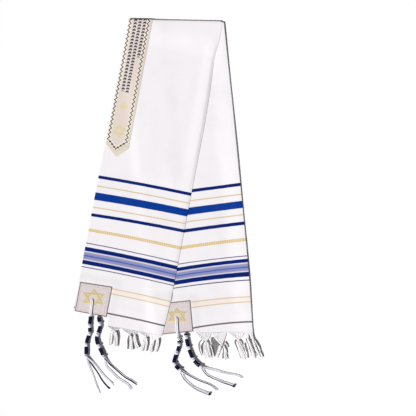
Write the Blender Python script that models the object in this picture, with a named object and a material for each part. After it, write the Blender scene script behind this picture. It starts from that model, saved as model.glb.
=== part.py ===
"""Prayer shawl folded in four and laid flat, with neckband, corner patches, fringes and tassels.

The shawl is one rectangle. It is folded lengthwise in half, with the long edges at the left, and
then crosswise along a slanted line, so that its two ends fan out as a front and a back strip.
Metres, +Z up. The floor is at Z = 0 and the camera of the photograph looks down -Z.
"""
import math

import bpy
import numpy as np
from mathutils import Vector

MM = 0.001

# Cloth and layers
WALL = 1.0 * MM
LAYER_GAP = 0.35 * MM
PITCH = WALL + LAYER_GAP
SEAM = 0.3 * MM
BAND_WALL = 1.0 * MM
PATCH_WALL = 1.0 * MM

# Plan of the two strips, measured from the left end of the crosswise fold
STRIP_WIDTH = 0.2796
FRONT_LEAN = math.radians(10.7)
BACK_LEAN = math.radians(-5.6)
HALF_FAN = (FRONT_LEAN - BACK_LEAN) / 2
FOLD_SLANT = math.tan(HALF_FAN)
SQUARE_FROM = 0.38          # rows lie square across the strip from here to the hem

# Neckband: its edges across the strip, and its shoulders and points along each strip
BAND_LEFT = 0.003
BAND_RIGHT = 0.071
BAND_MIDDLE = (BAND_LEFT + BAND_RIGHT) / 2
BAND_SHOULDER = {"front": 0.380, "back": 0.428}
BAND_POINT = {"front": 0.412, "back": 0.460}

# Corner patches and the plain header beyond them
PATCH_LEFT = 0.003
PATCH_RIGHT = 0.1025
PATCH_TOP = {"front": 0.8025, "back": 0.861}
PATCH_BOTTOM = {"front": 0.890, "back": 0.951}
HEADER_LEFT = 0.1095
HEADER_END = {"front": 0.9173, "back": 0.949}
HEADER_SLOPE = {"front": -0.012, "back": 0.072}
EYELET_RADIUS = 4.0 * MM
EYELET_SIDES = 16
EYELET_ALONG = {"front": 0.845, "back": 0.9035}
EYELET_ACROSS = {"front": 0.0507, "back": 0.0565}

# Soft steps over what lies underneath: where a raised stretch ends, and where the cloth is down again
OVERLAP_FULL = -0.045
OVERLAP_NONE = -0.090
BUMP_FULL_ACROSS = 0.1095
BUMP_NONE_ACROSS = 0.140
BAND_BUMP_NONE = 0.520
PATCH_BUMP_NONE = {"front": 0.740, "back": 0.800}
OVER_BAND_ACROSS = (0.120, 0.190)
OVER_BAND_ALONG = (0.520, 0.600)
OVER_PATCH_ALONG = (0.720, 0.790)

# Grid of the cloth: columns across the strip, and rows from the patch's bottom edge up to the fold
COLUMNS = (0.0, BAND_LEFT, BAND_MIDDLE, BAND_RIGHT, PATCH_RIGHT, HEADER_LEFT,
           BUMP_NONE_ACROSS, 0.175, 0.210, 0.245)
SIDE_FOLD_STEPS = 4
TOP_FOLD_STEPS = 6
ROW_STEPS = {               # where a row must lie, and the even steps that lead to it from the last one
    "front": ((PATCH_TOP["front"], 2), (PATCH_BUMP_NONE["front"], 1), (BAND_POINT["front"], 7),
              (BAND_SHOULDER["front"], 1), (0.0, 9)),
    "back": ((PATCH_TOP["back"], 2), (PATCH_BUMP_NONE["back"], 1), (BAND_BUMP_NONE, 6),
             (BAND_POINT["back"], 1), (BAND_SHOULDER["back"], 1), (0.0, 10)),
}
SAME_ROW = 0.1 * MM         # rows closer than this are the same one
SHARP_EDGE = math.radians(40)
CUTTER_REACH = 30 * MM

# Fringe: a narrow strip along the header, whose strands gather into knotted bunches and part again
FRINGE_STRIP = 4.0 * MM
FRINGE_STRANDS = 44
STRAND_SHARE = 0.5          # of the room for a strand, the part that its root takes
FRINGE_LENGTH = 0.049
BUNCH_WIDTHS = ((0.36, 0.40), (0.68, 0.50), (1.0, 0.60))    # share of the length, share of the root width
STRAND_WALL = 1.3 * MM
FRINGE_FLOOR = {"lower": 1.1 * MM, "upper": 2.9 * MM}
LOWER_LEAN = 3              # degrees that the hidden layer's bunches lean further to the right
BUNCHES = {                 # share of the header where the bunch ends, degrees it leans to the right
    "front": ((0.25, -5), (0.52, 6), (0.82, 4), (1.0, -9)),
    "back": ((0.30, 4), (0.60, -3), (0.90, 14), (1.0, 24)),
}

# Tassels: wound head with knots, then loose strands
HEAD_RADIUS = 5.4 * MM
KNOT_RADIUS = 6.2 * MM
HEAD_HEIGHT = 6.4 * MM
HEAD_SIDES = 8
HEAD_SPACING = 3.4 * MM
KNOT_LENGTH = 9.0 * MM
LOCK_RADIUS = 0.85 * MM
LOCK_SIDES = 4
LOCK_SPACING = 2.1 * MM
LOCK_FLOOR = 1.35 * MM
ROOT_DEPTH = 2.6 * MM
ROOT_SPACING = 1.3 * MM
ROOT_TIER = 1.9 * MM
ROOT_RADIUS = 0.55 * MM
LOOP_RADIUS = 1.2 * MM
LOOP_SPACING = 2.7 * MM
LOOP_SIDES = 6
LOOP_ROOT = 6.0 * MM        # how far the cord starts inside the head
LOOP_BEYOND_HEM = 4.0 * MM
LOOP_AT_RIM = 1.0 * MM      # room between the eyelet's rim and each bend of the cord
LOOP_DIP = 2.2 * MM
LOOP_CLEARANCE = 0.1 * MM

# Routes of the tassels in millimetres, right and up from the left end of the crosswise fold
HEAD_ROUTES = {
    "front_upper": ((-113, -892), (-114, -904), (-116, -916), (-115, -930), (-116, -944), (-122, -959),
                    (-126, -978), (-126, -999), (-128, -1014)),
    "front_lower": ((-89, -901), (-84, -920), (-89, -937), (-94, -952), (-94, -966),
                    (-87, -983), (-79, -1000), (-72, -1017)),
    "back_upper": ((151, -954), (154, -962), (152, -975), (151, -986), (145, -1001),
                   (140, -1016), (137, -1030), (144, -1042), (158, -1056)),
    "back_lower": ((173, -950), (175, -962), (178, -975), (182, -990), (188, -1006),
                   (196, -1022), (206, -1034), (221, -1046)),
}
KNOTS = {                   # shares of the head's length at which its knots sit
    "front_upper": (0.23, 0.42, 0.70, 0.97),
    "front_lower": (0.17, 0.42, 0.70, 0.97),
    "back_upper": (0.05, 0.20, 0.43, 0.75, 0.97),
    "back_lower": (0.10, 0.38, 0.69, 0.97),
}
LOCK_ROUTES = {             # strands in the lock, then its points beyond the last knot
    "front_upper": (
        (3, ((-118, -1038), (-106, -1068), (-98, -1092), (-84, -1126))),
        (2, ((-108, -1038), (-93, -1060), (-79, -1084), (-65, -1101), (-53, -1112))),
        (3, ((-99, -1037), (-84, -1056), (-67, -1075), (-53, -1088), (-42, -1100))),
    ),
    "front_lower": (
        (4, ((-66, -1040), (-51, -1058), (-33, -1075), (-17, -1086), (-3, -1096), (11, -1114))),
        (4, ((-55, -1034), (-39, -1049), (-23, -1064), (-8, -1076), (9, -1085), (26, -1098))),
    ),
    "back_upper": (
        (4, ((169, -1078), (188, -1097), (208, -1110), (227, -1118), (250, -1127))),
        (4, ((179, -1067), (195, -1077), (214, -1086), (237, -1094), (253, -1102), (269, -1114))),
    ),
    "back_lower": (
        (4, ((233, -1064), (246, -1073), (265, -1082), (289, -1091), (323, -1103))),
        (4, ((243, -1049), (266, -1055), (289, -1062), (322, -1068), (346, -1075))),
    ),
}

COLOURS = {
    "cloth": (0.86, 0.84, 0.86), "band": (0.76, 0.68, 0.60), "patch": (0.70, 0.66, 0.66),
    "fringe": (0.84, 0.82, 0.84), "tassel": (0.72, 0.72, 0.80),
}


def clear_scene():
    for thing in list(bpy.data.objects):
        bpy.data.objects.remove(thing, do_unlink=True)


def material(node, kind):
    """The material of one node, in the colour of its kind of piece."""
    look = bpy.data.materials.new(node)
    look.use_nodes = True
    shader = look.node_tree.nodes["Principled BSDF"]
    shader.inputs["Base Color"].default_value = (*COLOURS[kind], 1.0)
    shader.inputs["Roughness"].default_value = 0.9
    shader.inputs["Metallic"].default_value = 0.0
    return look


# Shape of the folded sheet

def ramp(value, none, full):
    """0 at none, 1 at full, straight between, whichever is larger."""
    return min(1.0, max(0.0, (value - none) / (full - none)))


def lean(side):
    return FRONT_LEAN if side == "front" else BACK_LEAN


def downward(angle):
    return np.array((-math.sin(angle), -math.cos(angle)))


def sideways(angle):
    return np.array((math.cos(angle), -math.sin(angle)))


def turn_radius():
    """Outside radius of the crosswise fold, which wraps four layers."""
    return 1.5 * PITCH + WALL / 2


def plan(side, along, across):
    return downward(lean(side)) * (along + turn_radius()) + sideways(lean(side)) * across


def bump_under_back(along, across):
    """Height of the neckband and the corner patch that lie under the back strip."""
    sideways_share = ramp(across, BUMP_NONE_ACROSS, BUMP_FULL_ACROSS)
    band = ramp(along, BAND_BUMP_NONE, BAND_POINT["back"]) * (BAND_WALL + SEAM)
    patch = ramp(along, PATCH_BUMP_NONE["back"], PATCH_TOP["back"]) * (PATCH_WALL + SEAM)
    return sideways_share * max(band, patch)


def bump_over_back(along, across):
    """The same as the front strip meets it, wider, and with the patch on top of the back strip."""
    band = ramp(along, OVER_BAND_ALONG[1], OVER_BAND_ALONG[0]) * (BAND_WALL + SEAM)
    band *= ramp(across, OVER_BAND_ACROSS[1], OVER_BAND_ACROSS[0])
    patch = ramp(along, OVER_PATCH_ALONG[0], OVER_PATCH_ALONG[1]) * 2 * (PATCH_WALL + SEAM)
    return max(band, patch)


def bump_under_front(along, across):
    patch = ramp(along, PATCH_BUMP_NONE["front"], PATCH_TOP["front"]) * (PATCH_WALL + SEAM)
    return ramp(across, BUMP_NONE_ACROSS, BUMP_FULL_ACROSS) * patch


def level(side, along, across):
    """Height of the middle between a strip's two layers."""
    resting = (WALL + PITCH) / 2
    if side == "back":
        return resting + bump_under_back(along, across)
    flat = plan("front", along, across) - downward(BACK_LEAN) * turn_radius()
    back_along = float(flat @ downward(BACK_LEAN))
    back_across = float(flat @ sideways(BACK_LEAN))
    lifted = ramp(back_across, OVERLAP_NONE, OVERLAP_FULL)
    over = lifted * (2 * PITCH + bump_over_back(back_along, back_across))
    return resting + over + bump_under_front(along, across)


def place(row, across, offset):
    """A point of the folded sheet: a row, a distance across and an offset out of its middle."""
    kind, along, skew = row
    if kind != "fold":
        spot = plan(kind, along + skew * across, across)
        out = offset if kind == "front" else -offset
        return (spot[0], spot[1], level(kind, along + skew * across, across) + out)
    share = along
    front_top = -FOLD_SLANT * across
    back_top = FOLD_SLANT * across
    axis = plan("front", front_top, across) * (1 - share) + plan("back", back_top, across) * share
    front_z = level("front", front_top, across)
    back_z = level("back", back_top, across)
    radius = (front_z - back_z) / 2 + offset
    angle = share * math.pi
    away = -downward((FRONT_LEAN + BACK_LEAN) / 2) * radius * math.sin(angle)
    return (axis[0] + away[0], axis[1] + away[1],
            (front_z + back_z) / 2 + radius * math.cos(angle))


def strip_rows(side):
    """Rows from the patch's bottom edge up to the crosswise fold, slanting only near the fold."""
    slant = -FOLD_SLANT if side == "front" else FOLD_SLANT
    places = [PATCH_BOTTOM[side]]
    for end, steps in ROW_STEPS[side]:
        start = places[-1]
        places += [start + (end - start) * step / steps for step in range(1, steps + 1)]
    return [(side, along, slant * ramp(along, SQUARE_FROM, 0.0)) for along in places]


def sheet_rows():
    turn = [("fold", step / TOP_FOLD_STEPS, 0.0) for step in range(1, TOP_FOLD_STEPS)]
    header = {side: (side, HEADER_END[side], HEADER_SLOPE[side]) for side in ("front", "back")}
    return ([header["front"]] + strip_rows("front") + turn
            + list(reversed(strip_rows("back"))) + [header["back"]])


def side_fold_path():
    """Outer and inner points across the doubled strip: upper layer, long fold, lower layer."""
    outer = (PITCH + WALL) / 2
    inner = (PITCH - WALL) / 2
    middle = STRIP_WIDTH - outer
    path = [(across, outer, across, inner) for across in COLUMNS]
    for step in range(SIDE_FOLD_STEPS + 1):
        angle = math.pi * step / SIDE_FOLD_STEPS
        path.append((middle + outer * math.sin(angle), outer * math.cos(angle),
                     middle + inner * math.sin(angle), inner * math.cos(angle)))
    path += [(across, -outer, across, -inner) for across in reversed(COLUMNS)]
    return path


# Mesh makers

def add_object(name, points, faces, look):
    mesh = bpy.data.meshes.new(name)
    mesh.from_pydata([tuple(point) for point in points], [], faces)
    mesh.validate()
    mesh.shade_smooth()
    mesh.set_sharp_from_angle(angle=SHARP_EDGE)
    item = bpy.data.objects.new(name, mesh)
    item.data.materials.append(look)
    bpy.context.scene.collection.objects.link(item)
    return item


def wall(name, outer, inner, cells, look, turned=()):
    """Closed wall between two grids of points, over the cells given, with sides where they end.

    Each cell is two triangles, split the other way in the columns that are turned.
    """
    points, numbers, faces = [], {}, []

    def number(point):
        key = tuple(round(value / (0.001 * MM)) for value in point)
        if key not in numbers:
            numbers[key] = len(points)
            points.append(point)
        return numbers[key]

    def triangle(*corners):
        corner_numbers = [number(corner) for corner in corners]
        if len(set(corner_numbers)) == 3:
            faces.append(corner_numbers)

    for row, column in sorted(cells):
        ring = ((row, column), (row, column + 1), (row + 1, column + 1), (row + 1, column))
        top = [outer[i][j] for i, j in ring]
        low = [inner[i][j] for i, j in ring]
        first, second, third, fourth = (1, 2, 3, 0) if column in turned else (0, 1, 2, 3)
        triangle(top[first], top[second], top[third])
        triangle(top[first], top[third], top[fourth])
        triangle(low[first], low[third], low[second])
        triangle(low[first], low[fourth], low[third])
        beyond = ((row - 1, column), (row, column + 1), (row + 1, column), (row, column - 1))
        for edge, neighbour in enumerate(beyond):
            if neighbour not in cells:
                after = (edge + 1) % 4
                triangle(top[after], top[edge], low[edge])
                triangle(top[after], low[edge], low[after])
    if signed_volume(points, faces) < 0:
        faces = [face[::-1] for face in faces]
    return add_object(name, points, faces, look)


def signed_volume(points, faces):
    corners = np.array([[points[index] for index in face[:3]] for face in faces])
    return float(np.einsum("ij,ij->i", corners[:, 0], np.cross(corners[:, 1], corners[:, 2])).sum())


def tube(name, route, radii, sides, look):
    """Closed tube along a route that never stands upright."""
    route = [Vector(point) for point in route]
    points, faces = [], []
    for index, centre in enumerate(route):
        before = route[max(index - 1, 0)]
        after = route[min(index + 1, len(route) - 1)]
        ahead = (after - before).normalized()
        right = ahead.cross(Vector((0, 0, 1))).normalized()
        up = right.cross(ahead)
        for side in range(sides):
            angle = math.tau * (side + 0.5) / sides
            points.append(centre + (right * math.cos(angle) + up * math.sin(angle)) * radii[index])
    for ring in range(len(route) - 1):
        for side in range(sides):
            after = (side + 1) % sides
            low, high = ring * sides, (ring + 1) * sides
            faces.append((low + side, low + after, high + after, high + side))
    last = (len(route) - 1) * sides
    faces.append(tuple(reversed(range(sides))))
    faces.append(tuple(last + side for side in range(sides)))
    triangles = [(face[0], face[i], face[i + 1]) for face in faces for i in range(1, len(face) - 1)]
    if signed_volume(points, triangles) < 0:
        faces = [face[::-1] for face in faces]
    return add_object(name, points, faces, look)


def combine(item, tool, operation):
    """Apply a Boolean and remove the tool."""
    step = item.modifiers.new("combine", "BOOLEAN")
    step.operation = operation
    step.solver = "EXACT"
    step.object = tool
    bpy.context.view_layer.update()
    result = bpy.data.meshes.new_from_object(item.evaluated_get(bpy.context.evaluated_depsgraph_get()))
    item.modifiers.clear()
    item.data = result
    bpy.data.objects.remove(tool, do_unlink=True)


def pierce(item, side):
    """Cut the corner's eyelet through an object, straight down."""
    spot = plan(side, EYELET_ALONG[side], EYELET_ACROSS[side])
    points = [(spot[0] + EYELET_RADIUS * math.cos(math.tau * k / EYELET_SIDES),
               spot[1] + EYELET_RADIUS * math.sin(math.tau * k / EYELET_SIDES), z)
              for z in (-CUTTER_REACH, CUTTER_REACH) for k in range(EYELET_SIDES)]
    faces = [tuple(reversed(range(EYELET_SIDES))), tuple(range(EYELET_SIDES, 2 * EYELET_SIDES))]
    for k in range(EYELET_SIDES):
        after = (k + 1) % EYELET_SIDES
        faces.append((k, after, EYELET_SIDES + after, EYELET_SIDES + k))
    cutter = add_object("eyelet_cutter", points, faces, item.data.materials[0])
    combine(item, cutter, "DIFFERENCE")


# Pieces

def make_cloth():
    rows, path = sheet_rows(), side_fold_path()
    outer = [[place(row, across, offset) for across, offset, _, _ in path] for row in rows]
    inner = [[place(row, across, offset) for _, _, across, offset in path] for row in rows]
    first = COLUMNS.index(HEADER_LEFT)
    header = range(first, len(path) - 1 - first)
    cells = {(row, column) for row in range(1, len(rows) - 2) for column in range(len(path) - 1)}
    cells |= {(row, column) for row in (0, len(rows) - 2) for column in header}
    under_point = COLUMNS.index(BAND_LEFT)
    last = len(path) - 2
    turned = {under_point} | set(range(last // 2, last + 1)) - {last - under_point}
    cloth = wall("shawl_cloth", outer, inner, cells, material("shawl_cloth", "cloth"), turned)
    for side in ("front", "back"):
        pierce(cloth, side)
    return cloth


def make_band():
    """The neckband follows the sheet's own rows, moved out of its outer face."""
    low = (PITCH + WALL) / 2 + SEAM
    high = low + BAND_WALL
    rows = [row for row in sheet_rows()
            if row[0] == "fold" or row[1] <= BAND_POINT[row[0]] + SAME_ROW]
    outer, inner = [], []
    for index, row in enumerate(rows):
        at_point = index in (0, len(rows) - 1)
        places = [BAND_MIDDLE] * 3 if at_point else [BAND_LEFT, BAND_MIDDLE, BAND_RIGHT]
        outer.append([place(row, across, high) for across in places])
        inner.append([place(row, across, low) for across in places])
    cells = {(row, column) for row in range(len(rows) - 1) for column in (0, 1)}
    return wall("neckband", outer, inner, cells, material("neckband", "band"), turned={0})


def make_patch(side, layer):
    """A corner patch on the outside of the upper or the lower layer of a strip's corner."""
    faces_out = 1 if (side == "front") == (layer == "upper") else -1
    low = ((PITCH + WALL) / 2 + SEAM) * faces_out
    high = low + PATCH_WALL * faces_out
    rows = [row for row in strip_rows(side) if row[1] >= PATCH_TOP[side] - SAME_ROW]
    columns = [across for across in COLUMNS if PATCH_LEFT <= across <= PATCH_RIGHT]
    outer = [[place(row, across, high) for across in columns] for row in rows]
    inner = [[place(row, across, low) for across in columns] for row in rows]
    cells = {(row, column) for row in range(len(rows) - 1) for column in range(len(columns) - 1)}
    name = f"patch_{side}_{layer}"
    patch = wall(name, outer, inner, cells, material(name, "patch"))
    pierce(patch, side)
    return patch


def bunch_of(side, layer, share):
    """Middle and lean of the bunch that takes the strand at a share of the header's width."""
    start = 0.0
    for end, degrees in BUNCHES[side]:
        if share < end:
            break
        start = end
    extra = LOWER_LEAN if layer == "lower" else 0
    return (start + end) / 2, math.radians(degrees + extra)


def make_fringe(side, layer):
    """A comb: a narrow strip along the header's end, with strands hanging from its lower edge."""
    offset = PITCH / 2 if (side == "front") == (layer == "upper") else -PITCH / 2
    reach = STRIP_WIDTH - (PITCH + WALL) / 2 - HEADER_LEFT
    columns = []
    for strand in range(FRINGE_STRANDS):
        middle, lean_angle = bunch_of(side, layer, (strand + 0.5) / FRINGE_STRANDS)
        for edge in ((1 - STRAND_SHARE) / 2, (1 + STRAND_SHARE) / 2):
            columns.append(((strand + edge) / FRINGE_STRANDS, middle, lean_angle))
    places = [HEADER_LEFT + reach * share for share, _, _ in columns]
    outer, inner = [], []
    for shift in (SEAM, SEAM + FRINGE_STRIP):
        row = (side, HEADER_END[side] + shift, HEADER_SLOPE[side])
        outer.append([place(row, across, offset + WALL / 2) for across in places])
        inner.append([place(row, across, offset - WALL / 2) for across in places])
    roots = [(Vector(high) + Vector(low)) / 2 for high, low in zip(outer[-1], inner[-1])]
    across_strip = Vector((*sideways(lean(side)), 0))
    outwards = 1 if side == "front" else -1
    half_wall = Vector((0, 0, outwards * STRAND_WALL / 2))
    for share, width in BUNCH_WIDTHS:
        outer_row, inner_row = [], []
        for root, (column, middle, lean_angle) in zip(roots, columns):
            hang = Vector((math.sin(lean_angle), -math.cos(lean_angle), 0))
            spot = root + hang * FRINGE_LENGTH * share
            spot += across_strip * (column - middle) * reach * (width - 1)
            spot.z = root.z * (1 - share) + FRINGE_FLOOR[layer] * share
            outer_row.append(tuple(spot + half_wall))
            inner_row.append(tuple(spot - half_wall))
        outer.append(outer_row)
        inner.append(inner_row)
    cells = {(0, column) for column in range(len(columns) - 1)}
    cells |= {(row, column) for row in range(1, len(BUNCH_WIDTHS) + 1)
              for column in range(0, len(columns), 2)}
    name = f"fringe_{side}_{layer}"
    return wall(name, outer, inner, cells, material(name, "fringe"))


def along_route(route, spacing):
    """Points at about an even spacing on a smooth curve through a route's points."""
    route = [np.array(point, dtype=float) for point in route]
    padded = [2 * route[0] - route[1]] + route + [2 * route[-1] - route[-2]]
    smooth = []
    for k in range(1, len(padded) - 2):
        before, start, end, after = padded[k - 1:k + 3]
        steps = max(1, round(float(np.linalg.norm(end - start)) / spacing))
        for step in range(steps):
            t = step / steps
            smooth.append(0.5 * (2 * start + (end - before) * t
                                 + (2 * before - 5 * start + 4 * end - after) * t ** 2
                                 + (3 * start - before - 3 * end + after) * t ** 3))
    return smooth + [route[-1]]


def head_radii(path, knots):
    """Wound head with a swelling at each knot."""
    steps = [0.0] + [float(np.linalg.norm(b - a)) for a, b in zip(path, path[1:])]
    travelled = np.cumsum(steps)
    radii = []
    for distance in travelled:
        nearest = min(abs(distance - share * travelled[-1]) for share in knots)
        radii.append(HEAD_RADIUS + (KNOT_RADIUS - HEAD_RADIUS) * ramp(nearest, KNOT_LENGTH / 2, 0.0))
    return radii


def loop_route(name, start):
    """Doubled cord from the head, over the patch and into the eyelet, or none on a hidden side."""
    side, layer = name.split("_")
    if layer == "lower":
        return None
    on_patch = (level(side, PATCH_BOTTOM[side], PATCH_LEFT) + (PITCH + WALL) / 2
                + SEAM + PATCH_WALL + SEAM + LOOP_RADIUS + LOOP_CLEARANCE)
    if side == "back":
        on_patch = max(on_patch, HEAD_HEIGHT)
    hole = plan(side, EYELET_ALONG[side], EYELET_ACROSS[side])
    towards = (np.array(start) - hole) / np.linalg.norm(np.array(start) - hole)
    rim = hole + towards * (EYELET_RADIUS + LOOP_AT_RIM)
    inside = hole - towards * LOOP_AT_RIM
    hem = hole + towards * (PATCH_BOTTOM[side] - EYELET_ALONG[side] + LOOP_BEYOND_HEM)
    return [(*start, HEAD_HEIGHT), (*hem, on_patch), (*rim, on_patch),
            (*inside, on_patch - LOOP_DIP)], towards


def make_tassel(name):
    look = material(f"tassel_{name}", "tassel")
    plan_route = [(x * MM, y * MM) for x, y in HEAD_ROUTES[name]]
    side, layer = name.split("_")
    start = []
    if layer == "lower":
        hem = plan(side, PATCH_BOTTOM[side] + SEAM, 0.0)
        square = downward(lean(side))
        first = np.array(plan_route[0])
        first = first - square * float((first - hem) @ square)
        start = [np.array((*first, HEAD_HEIGHT))]
        plan_route = [tuple(first + square * HEAD_SPACING)] + plan_route[1:]
    path = start + along_route([(x, y, HEAD_HEIGHT) for x, y in plan_route], HEAD_SPACING)
    head = tube(f"tassel_{name}", path, head_radii(path, KNOTS[name]), HEAD_SIDES, look)
    looped = loop_route(name, plan_route[0])
    if looped:
        route, towards = looped
        beside = np.array((-towards[1], towards[0], 0.0))
        inward = (*(np.array(plan_route[0]) + towards * LOOP_ROOT), HEAD_HEIGHT)
        for hand in (-0.5, 0.5):
            cord = [np.array(point) + beside * LOOP_SPACING * hand for point in [inward] + route]
            combine(head, tube("cord", cord, [LOOP_RADIUS] * len(cord), LOOP_SIDES, look), "UNION")
    last = path[-1] - path[-2]
    last /= np.linalg.norm(last)
    across_knot = np.array((-last[1], last[0], 0.0))
    for lock, (count, points) in enumerate(LOCK_ROUTES[name]):
        flat = [np.array((x * MM, y * MM, LOCK_FLOOR)) for x, y in points]
        tier = (lock - (len(LOCK_ROUTES[name]) - 1) / 2) * ROOT_TIER
        for strand in range(count):
            hand = strand - (count - 1) / 2
            root = path[-1] - last * ROOT_DEPTH + across_knot * hand * ROOT_SPACING
            route = [root + np.array((0.0, 0.0, tier))]
            for index, point in enumerate(flat):
                ahead = flat[min(index + 1, len(flat) - 1)] - flat[max(index - 1, 0)]
                right = np.array((-ahead[1], ahead[0], 0.0)) / np.linalg.norm(ahead)
                route.append(point + right * hand * LOCK_SPACING)
            radii = [ROOT_RADIUS] + [LOCK_RADIUS] * len(flat)
            combine(head, tube("lock", route, radii, LOCK_SIDES, look), "UNION")
    return head


def rest_on_origin(items):
    """Move every piece so that the origin is the middle of the underside's box."""
    corners = [point.co for item in items for point in item.data.vertices]
    low = Vector([min(point[axis] for point in corners) for axis in range(3)])
    high = Vector([max(point[axis] for point in corners) for axis in range(3)])
    shift = Vector((-(low.x + high.x) / 2, -(low.y + high.y) / 2, -low.z))
    for item in items:
        for point in item.data.vertices:
            point.co += shift


def main():
    clear_scene()
    items = [make_cloth(), make_band()]
    for side in ("front", "back"):
        for layer in ("upper", "lower"):
            items.append(make_patch(side, layer))
            items.append(make_fringe(side, layer))
            items.append(make_tassel(f"{side}_{layer}"))
    rest_on_origin(items)


main()
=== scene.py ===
import math
import random

import bmesh
import bpy
import numpy as np
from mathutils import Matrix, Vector


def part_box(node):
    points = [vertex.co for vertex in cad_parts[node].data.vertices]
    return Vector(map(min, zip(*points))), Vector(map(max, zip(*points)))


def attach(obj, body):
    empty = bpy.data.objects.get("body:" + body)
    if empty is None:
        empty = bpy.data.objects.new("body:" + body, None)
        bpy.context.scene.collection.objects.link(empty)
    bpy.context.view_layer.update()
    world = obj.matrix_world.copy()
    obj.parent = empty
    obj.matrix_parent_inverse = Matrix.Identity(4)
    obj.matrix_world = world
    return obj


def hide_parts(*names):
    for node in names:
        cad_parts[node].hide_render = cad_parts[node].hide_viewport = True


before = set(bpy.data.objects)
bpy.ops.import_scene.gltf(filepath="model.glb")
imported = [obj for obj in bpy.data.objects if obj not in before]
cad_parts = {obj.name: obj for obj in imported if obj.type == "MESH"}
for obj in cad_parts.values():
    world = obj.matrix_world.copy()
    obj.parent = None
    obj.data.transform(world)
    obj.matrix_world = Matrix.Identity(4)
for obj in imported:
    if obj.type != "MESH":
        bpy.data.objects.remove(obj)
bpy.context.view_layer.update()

MM = 0.001
SIDES = ("front", "back")

# Cloth and layers
WALL = 0.55 * MM
PITCH = 0.80 * MM
SEAM = 0.12 * MM
BAND_WALL = 0.75 * MM
PATCH_WALL = 0.80 * MM
TOP_PUFF = 4.2 * MM         # how far the crosswise fold stands open
TOP_PUFF_REACH = 0.070      # and how far down the strip that shows
SIDE_PUFF = 5.4 * MM        # the same for the back strip's lengthwise fold
CREST = 2.4 * MM            # soft crest beside the front strip's lengthwise fold

# Plan of the two strips
STRIP_WIDTH = 0.2796
LEAN = {"front": math.radians(10.7), "back": math.radians(-5.6)}
FOLD_SLANT = math.tan((LEAN["front"] - LEAN["back"]) / 2)
FOLD_TURN = 0.026           # the crosswise fold lies nearer to level than the strips' leans give
TURN_RADIUS = 2.5 * MM
FOLD_IN = 1.9 * MM          # how far down each strip the turn of the crosswise fold starts
SQUARE_FROM = 0.38          # from here on down, rows of points lie square to the strip
SIDE_FOLD = 1.6 * MM        # how far the lengthwise fold turns out from the flat layers
SIDE_FOLD_STEPS = 8
CORNER_DROP = 5.0 * MM      # how far the loose corner at the fold's right end hangs back
CORNER_REACH = 0.020
# How far each strip's right edge lies outside a straight one: along the strip in metres, then
# millimetres
EDGE_WANDER = {
    "front": ((0.0, 0.9), (0.08, -2.4), (0.17, 1.6), (0.27, 4.4), (0.45, 3.6), (0.80, 3.4),
              (0.92, -4.0)),
    "back": ((0.0, 4.6), (0.15, 5.4), (0.27, 6.6), (0.70, 6.6), (0.82, 5.4), (0.95, 1.0)),
}

# Neckband
BAND_LEFT = 0.003
BAND_RIGHT = 0.0735
BAND_MIDDLE = (BAND_LEFT + BAND_RIGHT) / 2
BAND_HALF = (BAND_RIGHT - BAND_LEFT) / 2
BAND_SHOULDER = {"front": 0.380, "back": 0.428}
BAND_POINT = {"front": 0.412, "back": 0.460}
BAND_LENGTH = BAND_POINT["front"] + BAND_POINT["back"]
POINT_LENGTH = BAND_POINT["front"] - BAND_SHOULDER["front"]
POINT_SHIFT = 3.0 * MM          # the points lie this far right of the band's middle
PATTERN_OFF_MIDDLE = 3.0 * MM   # the band's pattern sits this far left of its middle
POINT_PITCH = 1.3               # the zigzag's teeth are this much closer on its points
POINT_CALM = 0.5                # and this share lower
POINT_MARGIN = 10.0 * MM        # extra margin along the slanted edges of its points

# Corner patches, header and eyelets
PATCH_LEFT = 0.003
PATCH_RIGHT = 0.1025
PATCH_TOP = {"front": 0.7990, "back": 0.856}
PATCH_TURN = {"front": -0.035, "back": -0.010}     # slope of a patch's top edge across the strip
PATCH_BOTTOM = {"front": 0.890, "back": 0.951}
HEADER_LEFT = 0.1095
HEADER_END = {"front": 0.9173, "back": 0.949}
HEADER_SLOPE = {"front": -0.012, "back": 0.072}
EYELET_RADIUS = 3.4 * MM
EYELET_ALONG = {"front": 0.845, "back": 0.9035}
EYELET_ACROSS = {"front": 0.0507, "back": 0.0565}

# Stripes: where each lies along the front strip and the back strip, at its left and right edge,
# and its width, all in millimetres
STRIPES = (
    ("navy", 479.5, 479.5, 534, 524, 9.4),
    ("gold", 507, 507, 563, 554, 3.8),
    ("royal", 538, 536, 596, 585, 23.0),
    ("gold", 572, 569, 626, 615, 3.8),
    ("navy", 595, 591, 653.5, 641, 9.4),
    ("tan", 641, 643.5, 702, 689.5, 8.4),
    ("slate", 681, 688, 750.5, 739.5, 3.0),
    ("navy", 698.5, 703.5, 765.5, 752, 12.2),
    ("periwinkle", 718.5, 724, 784.5, 772.6, 22.0),
    ("navy", 738.5, 745, 803.5, 793, 12.2),
    ("slate", 753, 757.5, 819, 812, 3.0),
    ("gold", 802, 806, 868.5, 862, 3.4),
    ("gold", 817, 822, 888, 877, 3.4),
    ("hem", 877, 881, 953, 937, 5.0),
)
# Fine lines inside and beside the bands, in millimetres along the front strip's left edge
FINE_LINES = (
    ("mauve", 710.0, 3.2), ("deep", 718.8, 3.4), ("mauve", 727.6, 3.2), ("haze", 706.8, 3.2),
    ("haze", 730.6, 3.2), ("peach", 809.5, 11.6),
)
LAST_LINES = 790                # the lines beyond this one start only inside the corner patch
LAST_LINES_START = 10.0 * MM
# The stripes' middles lie nearer the fold than a straight line would, here along the strip
BOW = {"front": ((0.45, 1.8), (0.90, 2.2)), "back": ((0.55, 0.4), (0.85, 5.0), (0.945, 9.0))}

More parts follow.
